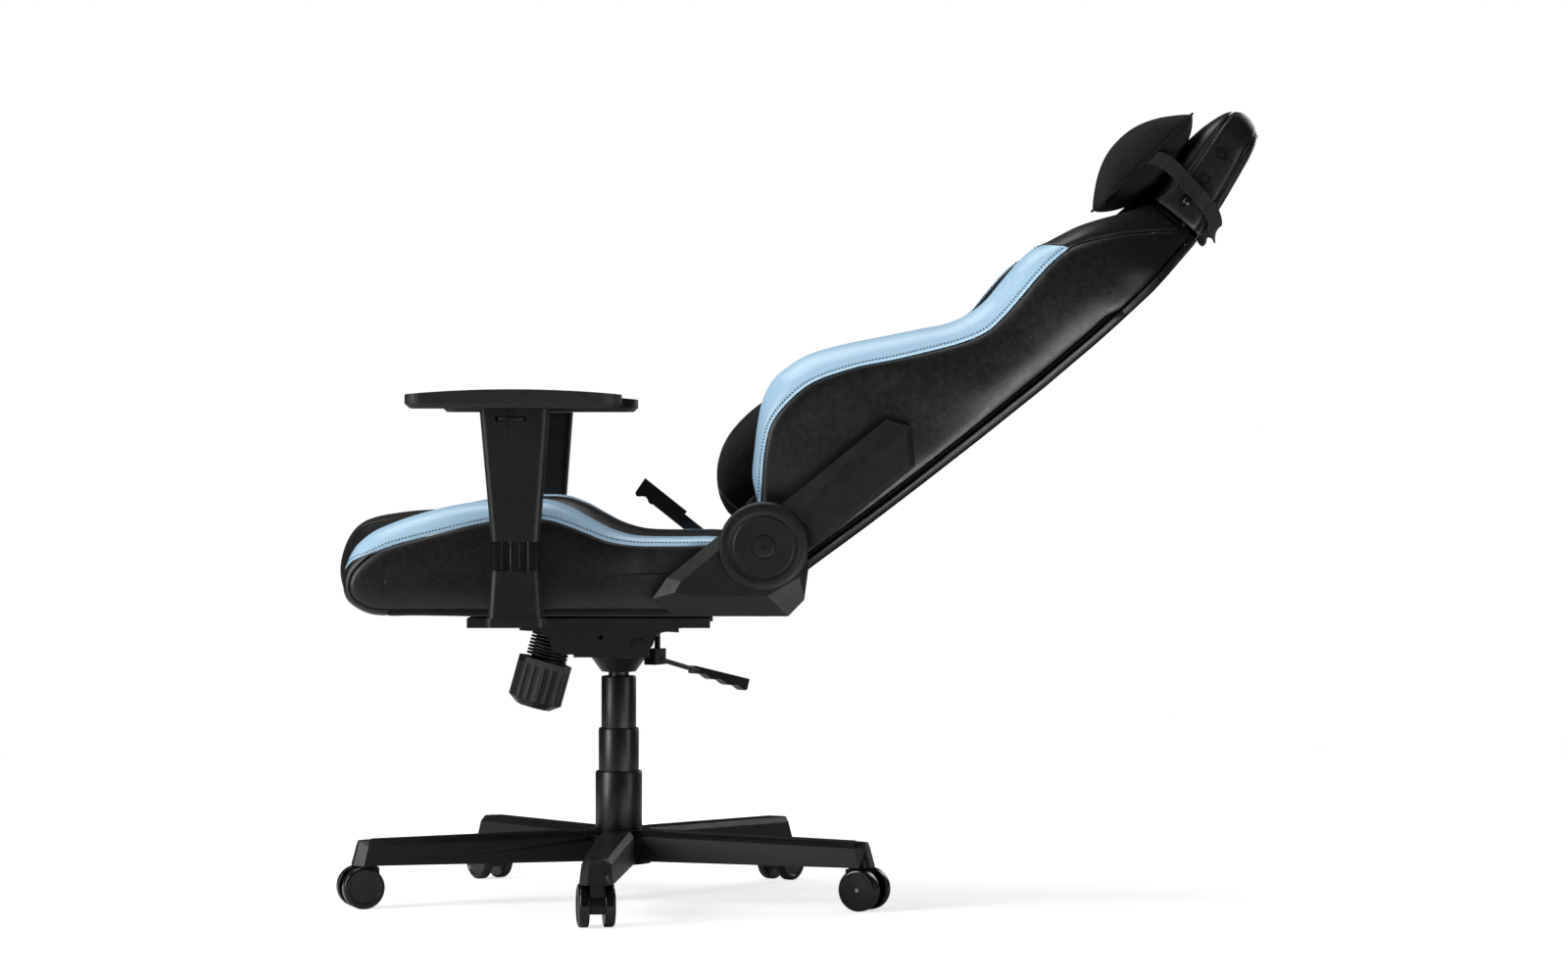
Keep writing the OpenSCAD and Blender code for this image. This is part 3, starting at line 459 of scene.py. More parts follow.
# From the back over the top, down the front and back underneath, as (y, z): the bolster's crest, the
# seam along its outer side, and the middle panel
SEAT = [
    ((236, 455), (226, 455), (236, 455)), ((226, 480), (217, 473), (226, 477)),
    ((205, 497), (205, 484), (203, 493)), ((137, 504), (137, 493), (137, 499)),
    ((99, 504), (99, 493), (99, 500)), ((48, 504.5), (48, 493), (48, 501)),
    ((22, 507.5), (20, 495), (20, 505)), ((-4, 516), (-6, 500), (-4, 509)),
    ((-29, 529), (-31, 509.5), (-29, 513)), ((-55, 543), (-57, 519.5), (-55, 516.5)),
    ((-89, 553), (-89, 528), (-89, 520)), ((-144, 552), (-144, 526.5), (-144, 526.5)),
    ((-183, 548.5), (-182, 520), (-183, 531)), ((-221, 541.5), (-220, 511), (-221, 534)),
    ((-259, 531.5), (-256, 502), (-262, 533.5)), ((-290, 520.5), (-281, 495.5), (-300, 530)),
    ((-315, 509), (-304, 487), (-336, 522)), ((-337, 490), (-324, 474), (-355, 503)),
    ((-350, 464), (-339, 457), (-366, 471)), ((-352, 440), (-344, 439), (-366, 443)),
    ((-346, 419), (-337, 422), (-355, 420)), ((-324, 404), (-316, 410), (-327, 404)),
    ((-298, 399.6), (-290, 407), (-298, 399.6)), ((-255, 399.6), (-250, 407), (-255, 399.6)),
    ((-188, 399.6), (-188, 407), (-188, 399.6)), ((-95, 399.6), (-95, 407), (-95, 399.6)),
    ((10, 399.6), (10, 407), (10, 399.6)), ((100, 399.6), (98, 407), (100, 399.6)),
    ((168, 399.6), (164, 407), (168, 399.6)), ((210, 399.6), (203, 407), (210, 399.6)),
    ((233, 412), (223, 416), (233, 412)), ((240, 432), (230, 434), (240, 432))]
SPINE = (-290, 190, 455)    # the line that the side panels close on: front, back and height
STRIP_START = 15.6          # the row from which the strip narrows to its tip
STRIP_END = 18.8


def strip_edge(u):
    """The outer edge of the seat's strip, which turns in to the strip's tip at the front"""
    return 9 - 3 * np.clip((u - STRIP_START) / (STRIP_END - STRIP_START), 0, 1) ** 2.6


def toward(a, b, share):
    """The (y, z) point at that share of the way from a to b"""
    return (a[0] + (b[0] - a[0]) * share, a[1] + (b[1] - a[1]) * share)


def ease(value, start, end):
    """From 0 at start to 1 at end, with soft ends"""
    t = min(max((value - start) / (end - start), 0), 1)
    return t * t * (3 - 2 * t)


def seat_row(crest, seam, panel):
    """One row of the seat, from its middle over the bolster and down its side to the spine"""
    lift = Vector((crest[0] - seam[0], crest[1] - seam[1])).normalized()
    spine = (min(max(seam[0], SPINE[0]), SPINE[1]), SPINE[2])

    def at(x, spot, rise=0.0):
        return (x, spot[0] + lift[0] * rise, spot[1] + lift[1] * rise)
    side_x = 263 - 1.5 * ease(seam[0], 20, 45)
    swell = 5 * (1 - ease(seam[0], 0, 40))
    return [at(0, panel, 2), at(80, panel, 1), at(145, panel, -1.5), at(165, panel, -5),
            at(181, toward(panel, crest, 0.34), -1), at(200, toward(panel, crest, 0.8), 1),
            at(222, crest, -0.8), at(233, crest), at(251, toward(crest, seam, 0.42), 2.5),
            at(side_x, seam), at(side_x + 0.7 * swell, toward(seam, spine, 0.25)),
            at(side_x + swell, toward(seam, spine, 0.6)), at(side_x + swell, spine)]


seat = Loft([seat_row(*row) for row in SEAT], closed=True)
SEAT_TURN = 22          # the row where the upholstery turns under
whole_seat = (0, seat.last_row)
seat_top = patch("seat_centre", seat, (0, SEAT_TURN), (-3, 3), BLACK, "lrt", both=False)
seat_slopes = patch("seat_slopes", seat, (0, SEAT_TURN), (3, 6), BLACK, "lrt")
seat_strips = patch("seat_strips", seat, (0, 19), (6, strip_edge), BLUE, "lr", depth=2.6, width=7)
seat_toe = patch("seat_front_corners", seat, (15, SEAT_TURN), (strip_edge, 9), BLACK, "lr")
seat_sides = patch("seat_sides", seat, whole_seat, (9, 12), BLACK, "l", depth=3.8, width=13)
seat_under = patch("seat_lining", seat, (SEAT_TURN, seat.last_row), (-3, 3), LINING, "b", both=False)
seat_under_sides = patch("seat_lining_sides", seat, (SEAT_TURN, seat.last_row), (3, 9), LINING, "rb")
own("seat", "leather_black", seat_top, seat_slopes, seat_toe, seat_sides, fill=0.7,
    stands_for=["seat_pad", "seat_bolsters"])
own("seat", "leather_blue", seat_strips, fill=0.7)
own("seat", "leather_black", seat_under, seat_under_sides)

TOP = (0.2, SEAT_TURN - 0.4)        # the rows that the stitches run over
STRIP = (0.2, STRIP_END - 0.15)
own("seat", "leather_black",
    stitches("seat_strip_stitches", seat, [
        seam_line(seat, STRIP, strip_edge, -1, 4.6, 2.6, 7), seam_line(seat, STRIP, 6, 1, 3.2, 2.6, 7)],
        DARK_THREAD),
    stitches("seat_stitches", seat, [
        seam_line(seat, TOP, 3, -1, 3.4), seam_line(seat, TOP, 3, 1, 3.4), seam_line(seat, TOP, 6, -1, 3.4),
        seam_line(seat, (0.2, STRIP_END + 1), 9, 1, 3.8, 4.5, 13)], GREY_THREAD, radius=0.35))


# ---- backrest upholstery ----

# Up the back, as p, q of the bolster's crest, p, q of its outer seam, q at the rear and half width
TORSO = [
    (-30, 20, -30, 22, 18, 243), (-47, 35, -45, 39, 36, 248), (-74, 53, -66, 62, 58, 253),
    (-98, 81, -89, 90, 86, 257), (-118, 107, -106, 119, 114, 260), (-135, 134, -111, 149, 142, 261.5),
    (-144, 163, -110, 180, 172, 262), (-142, 190, -105, 201, 197, 262), (-134, 220, -95, 224, 222, 262),
    (-113, 259, -77, 257, 258, 260.5), (-84, 303, -53, 293, 298, 258.5), (-56, 346, -29, 332, 340, 255.5),
    (-36, 376, -7, 370, 374, 254), (-25, 405, 7, 404, 405, 254), (-21, 434, 9, 434, 434, 255),
    (-24, 466, 7, 466, 466, 257), (-26.5, 500, 4, 500, 500, 259.5), (-25, 525, 3, 527, 528, 260),
    (-18, 547, 5, 551, 550, 258), (-12, 567, 9, 568, 572, 255), (-4, 590, 20, 589, 596, 247),
    (7, 613, 36, 613, 620, 233), (18, 634, 53, 637, 641, 211), (29, 654, 71, 659, 660, 187),
    (38, 672, 86, 677, 677, 167), (46, 689, 96, 691, 691, 150), (54, 697, 95, 697, 697, 132),
    (72, 699, 92, 699, 699, 60)]
TORSO_STRIP_START = 16.6
TORSO_STRIP_END = 18.4


def back_strip_edge(u):
    """The inner edge of the backrest's strip, which turns out to the strip's tip at the shoulder"""
    return 6 + 3 * np.clip((u - TORSO_STRIP_START) / (TORSO_STRIP_END - TORSO_STRIP_START), 0, 1) ** 2


NECK = 25               # the row where the head section starts
GAP_END = 18            # the row where the gap along the edge of the rear shell ends
# Middle panel and rear as (q, p), panel half width as (q, x)
PANEL = [(22, -58), (110, -60), (200, -55), (300, -38), (400, -16), (500, 2), (580, 14), (650, 25),
         (700, 29)]
REAR = [(20, 64), (114, 78), (211, 91), (308, 103), (407, 114), (508, 122), (600, 126), (690, 124),
        (730, 118), (758, 112), (815, 97), (846, 89), (860, 85.5), (869, 82.5)]
PANEL_WIDTH = [(250, 150), (340, 138), (500, 130), (600, 122), (697, 60)]


def look(table, q):
    """A table's value at q, straight between its points"""
    return float(np.interp(q, [row[0] for row in table], [row[1] for row in table]))


def torso_row(pc, qc, ps, qs, qr, w):
    """One row round the backrest, from the middle of its front to the middle of its rear"""
    pf, pr, xp = look(PANEL, qc), look(REAR, qr), look(PANEL_WIDTH, qc)
    if w < look(PANEL_WIDTH, qc) + 60:
        xp = w * 0.55
    xc = w - 33 * min(w / 200, 1)
    back = 16.6 - 5.6 * ease(qr, 530, 548)
    swell = 0.6 + 5 * ease(qs, 265, 330) * (1 - ease(qs, 560, 660))
    pe = max(pr - back, ps + 1)
    band = max(pr - 10.4, pe + 0.5)
    return [(0, pf - 2, qc), (xp * 0.5, pf - 1, qc), (xp - 11, pf + 1, qc), (xp, pf + 4, qc),
            (xp + (xc - 14 - xp) * 0.34, pf + (pc - pf) * 0.33, qc),
            (xp + (xc - 14 - xp) * 0.7, pf + (pc - pf) * 0.82 - 1, qc),
            (xc - 6, pc + 0.4, qc), (xc + 4, pc, qc),
            (xc + (w - xc) * 0.72, pc + (ps - pc) * 0.4, qc + (qs - qc) * 0.4), (w, ps, qs),
            (w + swell, ps + (pe - ps) * 0.3, qs + (qr - qs) * 0.3),
            (w + swell, ps + (pe - ps) * 0.7, qs + (qr - qs) * 0.7),
            (w - 2, pe, qr), (w - 1, band, qr), (w - 3.6, pr - 4.8, qr), (w - 9, pr - 1, qr),
            (w - 16, pr - 0.2, qr), (w * 0.55, pr + 0.5, qr), (0, pr + 1, qr)]


torso_rows = [torso_row(*row) for row in TORSO]
torso = Loft(torso_rows, outward=-1, frame=BACK)
FOOT_P = 17             # the p that the cover closes on underneath
foot = Loft([[(x * 0.98, FOOT_P + (p - FOOT_P) * 0.04, q + 3) for x, p, q in torso_rows[0]], torso_rows[0]],
            outward=-1, frame=BACK)
back_centre = patch("back_centre", torso, (0, NECK), (-3, 3), BLACK, "lrt", both=False)
back_slopes = patch("back_slopes", torso, (0, NECK), (3, 6), BLACK, "lrt")
back_strips = patch("back_strips", torso, (0, 19), (back_strip_edge, 9), BLUE, "lr", depth=2.6, width=7)
shoulders = patch("back_shoulders", torso, (16, NECK), (6, back_strip_edge), BLACK, "lrt")
back_sides = patch("back_sides", torso, (0, NECK), (9, 12), BLACK, "lr", depth=4.5, width=13)
back_gap = patch("back_side_gaps", torso, (0, GAP_END), (12, 13), LINING, "lrt", depth=0, trench=6,
                 uneven=0)
back_hem = patch("back_hems", torso, (GAP_END, NECK), (12, 13), BLACK, "lr", depth=1.5, width=3,
                 uneven=0)
back_band = patch("back_band", torso, (0, NECK), (13, 16), BLACK, "r", depth=2.5, width=5, uneven=0.2)
back_rear = patch("back_rear", torso, (0, NECK), (16, 18), BLACK, "l", depth=2.5, width=7, uneven=0.5)
back_foot = patch("back_foot", foot, (0, 1), (0, 18), BLACK, "", uneven=0)
back_yoke = patch("back_yoke", torso, (NECK, torso.last_row), (0, 18), BLACK, "", uneven=0)
own("back", "leather_black", back_centre, back_slopes, shoulders, back_sides, back_band, back_rear,
    back_foot, back_yoke, fill=0.7, stands_for=["back_pad", "back_bolsters", "back_shell"])
own("back", "leather_black", back_gap, back_hem)
own("back", "leather_blue", back_strips, fill=0.7)

# Up the head section, as p, q of the front's edge, p, q of the seam along its side, q at the rear and
# half width
HEAD = [
    (46, 696, 48, 696, 702, 136.2), (43, 714, 52, 712, 718, 136.4), (37, 737, 53, 735, 739, 136.4),
    (30, 760, 50, 759, 761, 136.4), (26, 781, 46, 783, 783, 136.2), (24.5, 803, 42, 806, 805, 134.5),
    (25.5, 826, 38, 828, 828, 127), (29, 844, 36, 846, 848, 111), (32, 854, 35.5, 856, 859, 90),
    (34, 859, 35.5, 861, 865, 64), (34.5, 861, 35.5, 863, 868, 33), (35, 862, 35.5, 863.5, 869, 0.5)]


def head_row(pc, qc, ps, qs, qr, w):
    """One row round the head section, from the middle of its front to the middle of its rear"""
    pr = look(REAR, qr)
    depth = pr - ps
    pe, band = pr - min(11, depth * 0.3) + 4 * ease(qr, 830, 860), pr - min(4, depth * 0.1)
    rise = 7 * ease(qr, 835, 866)
    crown = 2 + 11 * (1 - ease(qc, 735, 790))
    return [(0, pc - crown, qc), (w * 0.5, pc - crown * 0.8, qc), (w * 0.82, pc + 1 - crown * 0.3, qc),
            (w * 0.945, pc + (ps - pc) * 0.3, qc + (qs - qc) * 0.3), (w, ps, qs),
            (w + 0.006 * w, ps + (pe - ps) * 0.3, qs + (qr - qs) * 0.3 + rise),
            (w + 0.006 * w, ps + (pe - ps) * 0.7, qs + (qr - qs) * 0.7 + rise * 0.8), (w - w / 270, pe, qr),
            (w - w / 70, band, qr - rise * 0.3), (w * 0.93, pr - 0.2, qr - rise),
            (w * 0.885, pr, qr - rise * 1.2), (w * 0.5, pr + 0.8, qr), (0, pr + 1, qr)]


head = Loft([head_row(*row) for row in HEAD], outward=-1, frame=BACK)
tall = (0, head.last_row)
head_front = patch("head_front", head, tall, (-4, 4), BLACK, "lrb", both=False)
head_sides = patch("head_sides", head, tall, (4, 7), BLACK, "lrb", depth=3, width=8, uneven=0.3)
head_band = patch("head_band", head, tall, (7, 10), BLACK, "lrb", depth=2.2, width=5, uneven=0.2)
head_rear = patch("head_rear", head, tall, (10, 12), BLACK, "lb", depth=2.2, width=7)
own("back", "leather_black", head_front, head_sides, head_band, head_rear, fill=0.7)

own("back", "leather_black",
    stitches("back_strip_stitches", torso, [
        seam_line(torso, (0.6, TORSO_STRIP_END - 0.2), 9, -1, 4.6, 2.6, 7),
        seam_line(torso, (0.6, TORSO_STRIP_END - 0.2), back_strip_edge, 1, 3.2, 2.6, 7)], DARK_THREAD),
    stitches("back_stitches", torso, [
        seam_line(torso, (0.6, NECK - 0.1), 3, -1, 3.4), seam_line(torso, (0.6, NECK - 0.1), 3, 1, 3.4),
        seam_line(torso, (0.6, NECK - 0.1), 6, -1, 3.4),
        seam_line(torso, (0.6, NECK - 0.1), 9, 1, 3.8, 4.5, 13),
        seam_line(torso, (17, NECK - 0.1), back_strip_edge, -1, 3.4),
        seam_line(torso, (0.6, NECK - 0.1), 16, 1, 3.2, 2.5, 7)], GREY_THREAD, radius=0.35),
    stitches("head_stitches", head, [
        seam_line(head, (0.1, head.last_row - 0.5), 4, -1, 3.4),
        seam_line(head, (0.1, head.last_row - 0.5), 4, 1, 3.2, 3, 8),
        seam_line(head, (0.1, head.last_row - 0.5), 10, 1, 3.2, 2.2, 7),
        row_line(head, 0, (0, 7), 1, 3.4)], GREY_THREAD, radius=0.35))


# ---- loose cushions ----

def cushion_grid(levels, squareness, count=96):
    """Rings of points from one face to the other; each level is p, half width, lowest and highest q, and
    its squareness goes from 1, an ellipse, towards 0, a rectangle"""
    rings = []
    for (p, w, low, high), square in zip(levels, squareness):
        ring = []
        for k in range(count):
            a = 2 * math.pi * k / count
            c, s = math.cos(a), math.sin(a)
            ring.append((w * math.copysign(abs(c) ** square, c), p,
                         (low + high) / 2 + (high - low) / 2 * math.copysign(abs(s) ** square, s)))
        rings.append(ring)
    return rings


def inflate(piece, pinned, pressure, cap, voxel=5.5):
    """Puffs a closed piece with cloth simulation: pinned says which of its points hold still, and no
    point moves further than cap"""
    bpy.context.view_layer.objects.active = piece
    remesh = piece.modifiers.new("remesh", "REMESH")
    remesh.mode, remesh.voxel_size = "VOXEL", voxel * MM
    bpy.ops.object.modifier_apply(modifier="remesh")
    smooth = piece.modifiers.new("smooth", "SMOOTH")
    smooth.factor, smooth.iterations = 0.5, 3
    bpy.ops.object.modifier_apply(modifier="smooth")
    held = piece.vertex_groups.new(name="held")
    rest = [v.co.copy() for v in piece.data.vertices]
    for i, co in enumerate(rest):
        if pinned(co):
            held.add([i], 1.0, "REPLACE")
    cloth = piece.modifiers.new("cloth", "CLOTH")
    made = cloth.settings
    made.quality, made.mass = 6, 0.3
    made.tension_stiffness = made.compression_stiffness = 12
    made.bending_stiffness = 0.6
    made.use_pressure, made.uniform_pressure_force = True, pressure
    made.vertex_group_mass = "held"
    made.effector_weights.gravity = 0
    cloth.collision_settings.use_collision = False
    for step in range(1, 21):
        bpy.context.scene.frame_set(step)
    moved = piece.evaluated_get(bpy.context.evaluated_depsgraph_get()).data
    shapes = [v.co.copy() for v in moved.vertices]
    piece.modifiers.remove(cloth)
    bpy.context.scene.frame_set(1)
    for vertex, start, end in zip(piece.data.vertices, rest, shapes):
        step = end - start
        vertex.co = start + step * min(1, cap * MM / max(step.length, 1e-9))
    finer = piece.modifiers.new("finer", "SUBSURF")
    finer.levels = finer.render_levels = 1
    bpy.ops.object.modifier_apply(modifier="finer")
    piece.data.polygons.foreach_set("use_smooth", [True] * len(piece.data.polygons))


def cushion(name, levels, squareness, held_levels, pressure, cap):
    """A knit cushion puffed from rings of points; the levels of p that hold still are (low, high) pairs"""
    rings = cushion_grid(levels, squareness)
    count = len(rings[0])
    verts = np.array([p for ring in rings for p in ring]) * MM
    faces = [(a * count + k, a * count + (k + 1) % count, (a + 1) * count + (k + 1) % count,
              (a + 1) * count + k) for a in range(len(rings) - 1) for k in range(count)]
    faces += [tuple(range(count - 1, -1, -1)), tuple((len(rings) - 1) * count + k for k in range(count))]
    piece = mesh_object(name, verts, faces, KNIT)

    def pinned(spot):
        return any(low * MM <= spot.y <= high * MM for low, high in held_levels)
    inflate(piece, pinned, pressure, cap)
    piece.data.transform(BACK)
    return piece


LUMBAR = [(-139, 62, 72, 122), (-136, 92, 60, 138), (-130, 116, 46, 156), (-121, 133, 30, 174),
          (-109, 143, 17, 190), (-98, 147, 8, 202), (-87, 149, 1, 210), (-80, 149.5, -2, 213),
          (-70, 148, -5, 217), (-60, 145, -7, 218), (-50, 140, -3, 70)]
LUMBAR_SQUARE = [0.9, 0.75, 0.62, 0.5, 0.42, 0.38, 0.34, 0.33, 0.33, 0.36, 0.38]
# The welt that edges its underside: half of its line as (x, p, q), from the backrest forward and in to
# the middle
LUMBAR_WELT = [(147, -56, 8), (147.5, -72, 6), (147, -86, 7), (141, -92, 8.5), (118, -93, 7.5),
               (60, -93, 7), (0, -93, 7)]
lumbar = cushion("lumbar_pillow", LUMBAR, LUMBAR_SQUARE, held_levels=[(-97, -84), (-66, 0)], pressure=4,
                 cap=5)
PILLOW = [(-46, 50, 720, 747), (-43, 85, 704, 759), (-37, 112, 691, 772), (-29, 130, 678, 785),
          (-19, 139, 665, 797), (-9, 144, 653, 808), (-1.5, 146, 644, 817), (4, 144.5, 647, 813),
          (12, 138, 655, 806), (19, 126, 664, 796), (25, 108, 673, 784), (31, 80, 686, 770)]
PILLOW_SQUARE = [0.9, 0.75, 0.62, 0.5, 0.4, 0.33, 0.3, 0.34, 0.42, 0.5, 0.6, 0.7]
PILLOW_SEAM = 6         # the level that the pillow's two covers are sewn at
pillow = cushion("head_pillow_cover", PILLOW, PILLOW_SQUARE, held_levels=[(-4, 1.5)], pressure=4, cap=6)
own("back", "knit_black", lumbar, fill=0.75, stands_for=["lumbar_cushion"])
own("pillow", "knit_black", pillow, fill=0.8, stands_for=["head_pillow"])
PIPING_RADIUS = 1.5
pillow_seam = cushion_grid(PILLOW[PILLOW_SEAM:PILLOW_SEAM + 1], PILLOW_SQUARE[PILLOW_SEAM:])[0]
own("pillow", "knit_black",
    tube("pillow_piping", pillow_seam, PIPING_RADIUS, KNIT, closed=True, frame=BACK))


# ---- welt and elastic strap ----

def smooth_line(points, steps=8):
    """A smooth line through points, with steps to a span"""
    share = weights(np.linspace(0, len(points) - 1, (len(points) - 1) * steps + 1), len(points), False)[0]
    return share @ np.array(points, float)


# Half of the strap's middle line, from the pillow's seam round to the middle of the back, as (x, p, q),
# and how far its upper edge leans backwards
STRAP = [(141, -3, 727, 0), (148, 6, 734, 0), (151.5, 24, 740, 0), (151.5, 58, 739.5, 0), (151, 92, 738, 0),
         (149.5, 107, 736, 1), (146, 120, 730.5, 2), (139, 130, 722.5, -2), (124, 135, 719, -8),
         (100, 135, 721, -12), (72, 132, 725, -13), (36, 128.5, 728, -12), (0, 127, 729, -11)]
STRAP_WIDTH = 20
STRAP_THICK = 1.7
STRAP_LIFT = 12         # the strap sits higher on the right


def both_halves(half, lift=0):
    """The whole of a line from its half on the left; lift raises the middle of the right half"""
    line = smooth_line(half)
    mirrored = line[-2::-1].copy()
    mirrored[:, 0] *= -1
    mirrored[:, 2] += lift * np.sin(np.linspace(0, math.pi, len(mirrored)))
    return np.concatenate([line, mirrored])


lumbar_welt = tube("lumbar_welt", both_halves(LUMBAR_WELT), PIPING_RADIUS, PIPING, frame=BACK)
own("back", "knit_black", lumbar_welt)
for piece in (lumbar, lumbar_welt):
    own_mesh(piece)


def strap():
    """A flat band with thicker edges, swept along the strap's line"""
    line = both_halves(STRAP, STRAP_LIFT)
    verts, faces = [], []
    profile = [(-1, 0), (-0.97, 0.45), (-0.8, 0.5), (0, 0.42), (0.8, 0.5), (0.97, 0.45), (1, 0),
               (0.97, -0.45), (0.8, -0.5), (0, -0.42), (-0.8, -0.5), (-0.97, -0.45)]
    for i, (x, p, q, lean) in enumerate(line):
        ahead, behind = line[min(i + 1, len(line) - 1), :3], line[max(i - 1, 0), :3]
        along = (ahead - behind) / np.linalg.norm(ahead - behind)
        wide = np.array((0, lean / STRAP_WIDTH * 2, 1.0))
        wide -= along * wide.dot(along)
        wide /= np.linalg.norm(wide)
        out = np.cross(wide, along)
        for a, b in profile:
            verts.append((np.array((x, p, q)) + wide * a * STRAP_WIDTH / 2 + out * b * STRAP_THICK) * MM)
    n = len(profile)
    for i in range(len(line) - 1):
        for k in range(n):
            a, b = i * n + k, i * n + (k + 1) % n
            faces.append((a, b, b + n, a + n))
    faces += [tuple(range(n - 1, -1, -1)), tuple(range(len(verts) - n, len(verts)))]
    made = mesh_object("head_strap_band", np.array(verts), faces, ELASTIC)
    made.data.transform(BACK)
    return made


own("pillow", "elastic_strap", strap(), stands_for=["head_strap"])


# ---- tension spring ----

KNOB_LEAN = math.radians(-15.5)
KNOB = Matrix.Translation((0, -0.1, 0.329)) @ Matrix.Rotation(KNOB_LEAN, 4, "X")
TURNS, POINTS_PER_TURN = 7, 28
COIL_RADIUS, WIRE_RADIUS, CORE_RADIUS = 27.0, 1.6, 21
SPRING_TOP = 36
COIL_START, COIL_RISE = 1.7, SPRING_TOP - 3.6
coil = []
for k in range(TURNS * POINTS_PER_TURN + 1):
    share = k / (TURNS * POINTS_PER_TURN)
    a = share * TURNS * 2 * math.pi
    coil.append((COIL_RADIUS * math.cos(a), COIL_RADIUS * math.sin(a), COIL_START + COIL_RISE * share))
spring = tube("tension_coil", coil, WIRE_RADIUS, PAINTED, sides=10, frame=KNOB)
core = tube("tension_core", [(0, 0, 1), (0, 0, SPRING_TOP - 1)], CORE_RADIUS, PAINTED, sides=32,
            frame=KNOB)
own("seat", "steel_black", spring, core, stands_for=["tension_spring"])
for piece in (spring, core):
    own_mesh(piece)


# ---- finishes of the moulded and metal parts ----

FINISH = {
    "base_star": NYLON, "gas_outer_tube": PAINTED, "piston_rod": STEEL, "shroud": SHROUD,
    "gas_inner_cylinder": PAINTED, "valve_pin": STEEL, "mechanism_core": PAINTED, "tilt_axle": PAINTED,
    "tension_knob": COVER, "height_lever_rod": PAINTED, "height_lever_grip": HOOD, "tilt_housing": PAINTED,
    "seat_pan": BOARD, "mounting_bolts": STEEL, "hinge_seat_plates": PAINTED, "hinge_covers": COVER,
    "hinge_discs": COVER, "recline_lever_arm": PAINTED, "recline_lever_grip": HOOD, "arm_brackets": POST,
    "arm_shells": ARM_PLASTIC, "arm_sleeve": ARM_PLASTIC, "arm_button": COVER, "arm_turntable": COVER,
    "arm_pad": SOFT_PAD, "back_frame": PAINTED, "hinge_back_plates": PAINTED, "strap_sockets": GLOSS,
    "caster": HOOD}
# The radius of the rounded edges, in millimetres
ROUNDING = {"base_star": 1.6, "hinge_covers": 1.0, "hinge_discs": 0.8, "arm_pad": 2.2, "arm_sleeve": 1.0,
            "arm_shells": 1.0, "tension_knob": 0.9, "recline_lever_grip": 1.2, "height_lever_grip": 1.2,
            "arm_brackets": 0.8, "tilt_housing": 0.8, "caster": 0.5, "shroud": 0.5, "arm_button": 1.0,
            "strap_sockets": 0.6}
WELD_WITHIN = 0.00002
SHARP = math.radians(35)


def pick(table, name, other=None):
    """What a table gives for the first of its keys that the name starts with"""
    return next((table[start] for start in table if name.startswith(start)), other)


for name, part in nodes.items():
    if part.hide_render:
        continue
    part.data.materials.clear()
    part.data.materials.append(GLOSS if "wheel" in name else pick(FINISH, name, COVER))
    rounding = pick(ROUNDING, name)
    if rounding:
        weld = part.modifiers.new("weld", "WELD")
        weld.merge_threshold = WELD_WITHIN
        soft = part.modifiers.new("bevel", "BEVEL")
        soft.width, soft.segments, soft.limit_method = rounding * MM, 3, "ANGLE"
        soft.angle_limit, soft.harden_normals = SHARP, True


# ---- floor, light and camera ----

def area_light(name, at, aim, size, radiance):
    """A softbox that shines evenly"""
    data = bpy.data.lights.new(name, "AREA")
    data.shape, data.size, data.size_y = "RECTANGLE", *size
    data.energy = radiance * math.pi * size[0] * size[1]
    lamp = bpy.data.objects.new(name, data)
    bpy.context.scene.collection.objects.link(lamp)
    lamp.location, lamp.visible_camera = at, False
    lamp.rotation_euler = (Vector(aim) - Vector(at)).to_track_quat("-Z", "Y").to_euler()


area_light("softbox_top", (0.0, -0.5, 3.2), (0, 0.1, 0.5), (2.2, 2.6), 3.4)
area_light("softbox_left", (2.0, -3.4, 1.7), (0, 0.1, 0.7), (1.1, 2.8), 12.0)
area_light("softbox_right", (2.2, 3.8, 1.3), (0, 0.2, 0.6), (0.7, 2.2), 4.0)
area_light("softbox_back", (-2.8, 2.2, 1.6), (0, 0.3, 0.7), (1.2, 2.0), 3.0)
area_light("softbox_low", (1.25, 1.2, 0.03), (1.25, 1.2, 1), (0.9, 1.5), 7.0)

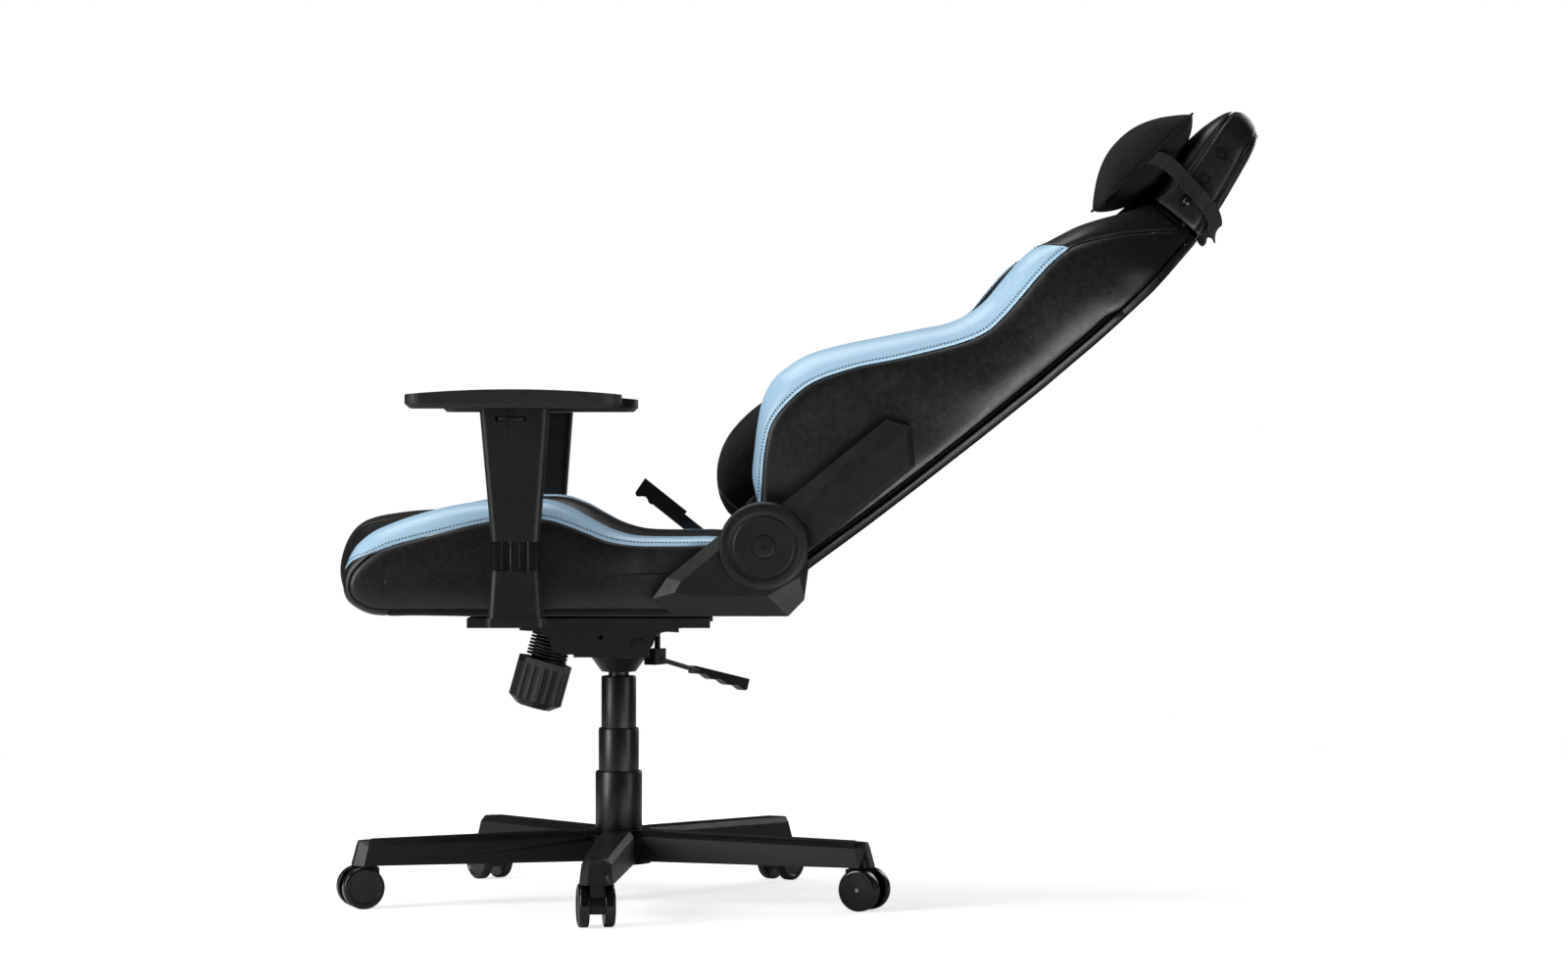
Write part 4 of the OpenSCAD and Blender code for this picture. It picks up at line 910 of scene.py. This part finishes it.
FLOOR_RADIUS, FLOOR_CORNERS, FLOOR_GLOW = 3, 64, 0.72
floor_mat, floor_shader = principled("floor_paper", Roughness=0.8, Specular_IOR_Level=0.1,
                                     Emission_Color=(1, 1, 1, 1))
paper = blotches(floor_mat, place(floor_mat), 0.5)
link(floor_mat, tint(floor_mat, paper, (0.86,) * 3, (0.88,) * 3), floor_shader, "Base Color")
ring = []
for k in range(FLOOR_CORNERS):
    a = 2 * math.pi * k / FLOOR_CORNERS
    ring.append((FLOOR_RADIUS * math.cos(a), FLOOR_RADIUS * math.sin(a) + 0.2, 0))
floor = mesh_object("floor", ring, [tuple(range(FLOOR_CORNERS))], floor_mat)
glare = add(floor_mat, "ShaderNodeLightPath").outputs["Is Camera Ray"]
glow_seen = add(floor_mat, "ShaderNodeMath", {0: glare, 1: FLOOR_GLOW}, operation="MULTIPLY")
link(floor_mat, glow_seen.outputs[0], floor_shader, "Emission Strength")

scene = bpy.context.scene
world = bpy.data.worlds.new("studio")
world.use_nodes = True
scene.world = world
tree = world.node_tree
glow = tree.nodes["Background"]
glow.inputs["Color"].default_value, glow.inputs["Strength"].default_value = (1, 1, 1, 1), 0.05
seen = tree.nodes.new("ShaderNodeBackground")
seen.inputs["Color"].default_value, seen.inputs["Strength"].default_value = (1, 1, 1, 1), 1.0
rays, mixed = tree.nodes.new("ShaderNodeLightPath"), tree.nodes.new("ShaderNodeMixShader")
tree.links.new(rays.outputs["Is Camera Ray"], mixed.inputs[0])
tree.links.new(glow.outputs[0], mixed.inputs[1])
tree.links.new(seen.outputs[0], mixed.inputs[2])
tree.links.new(mixed.outputs[0], tree.nodes["World Output"].inputs["Surface"])
scene.view_settings.view_transform = "Standard"

camera = bpy.data.objects.new("camera", bpy.data.cameras.new("camera"))
scene.collection.objects.link(camera)
camera.data.lens, camera.data.sensor_width = 97.2, 36
camera.location = (5.8, 0.2265, 0.6255)
camera.rotation_euler = (Vector((0, 0.2265, 0.5625)) - camera.location).to_track_quat("-Z", "Y").to_euler()
scene.camera = camera
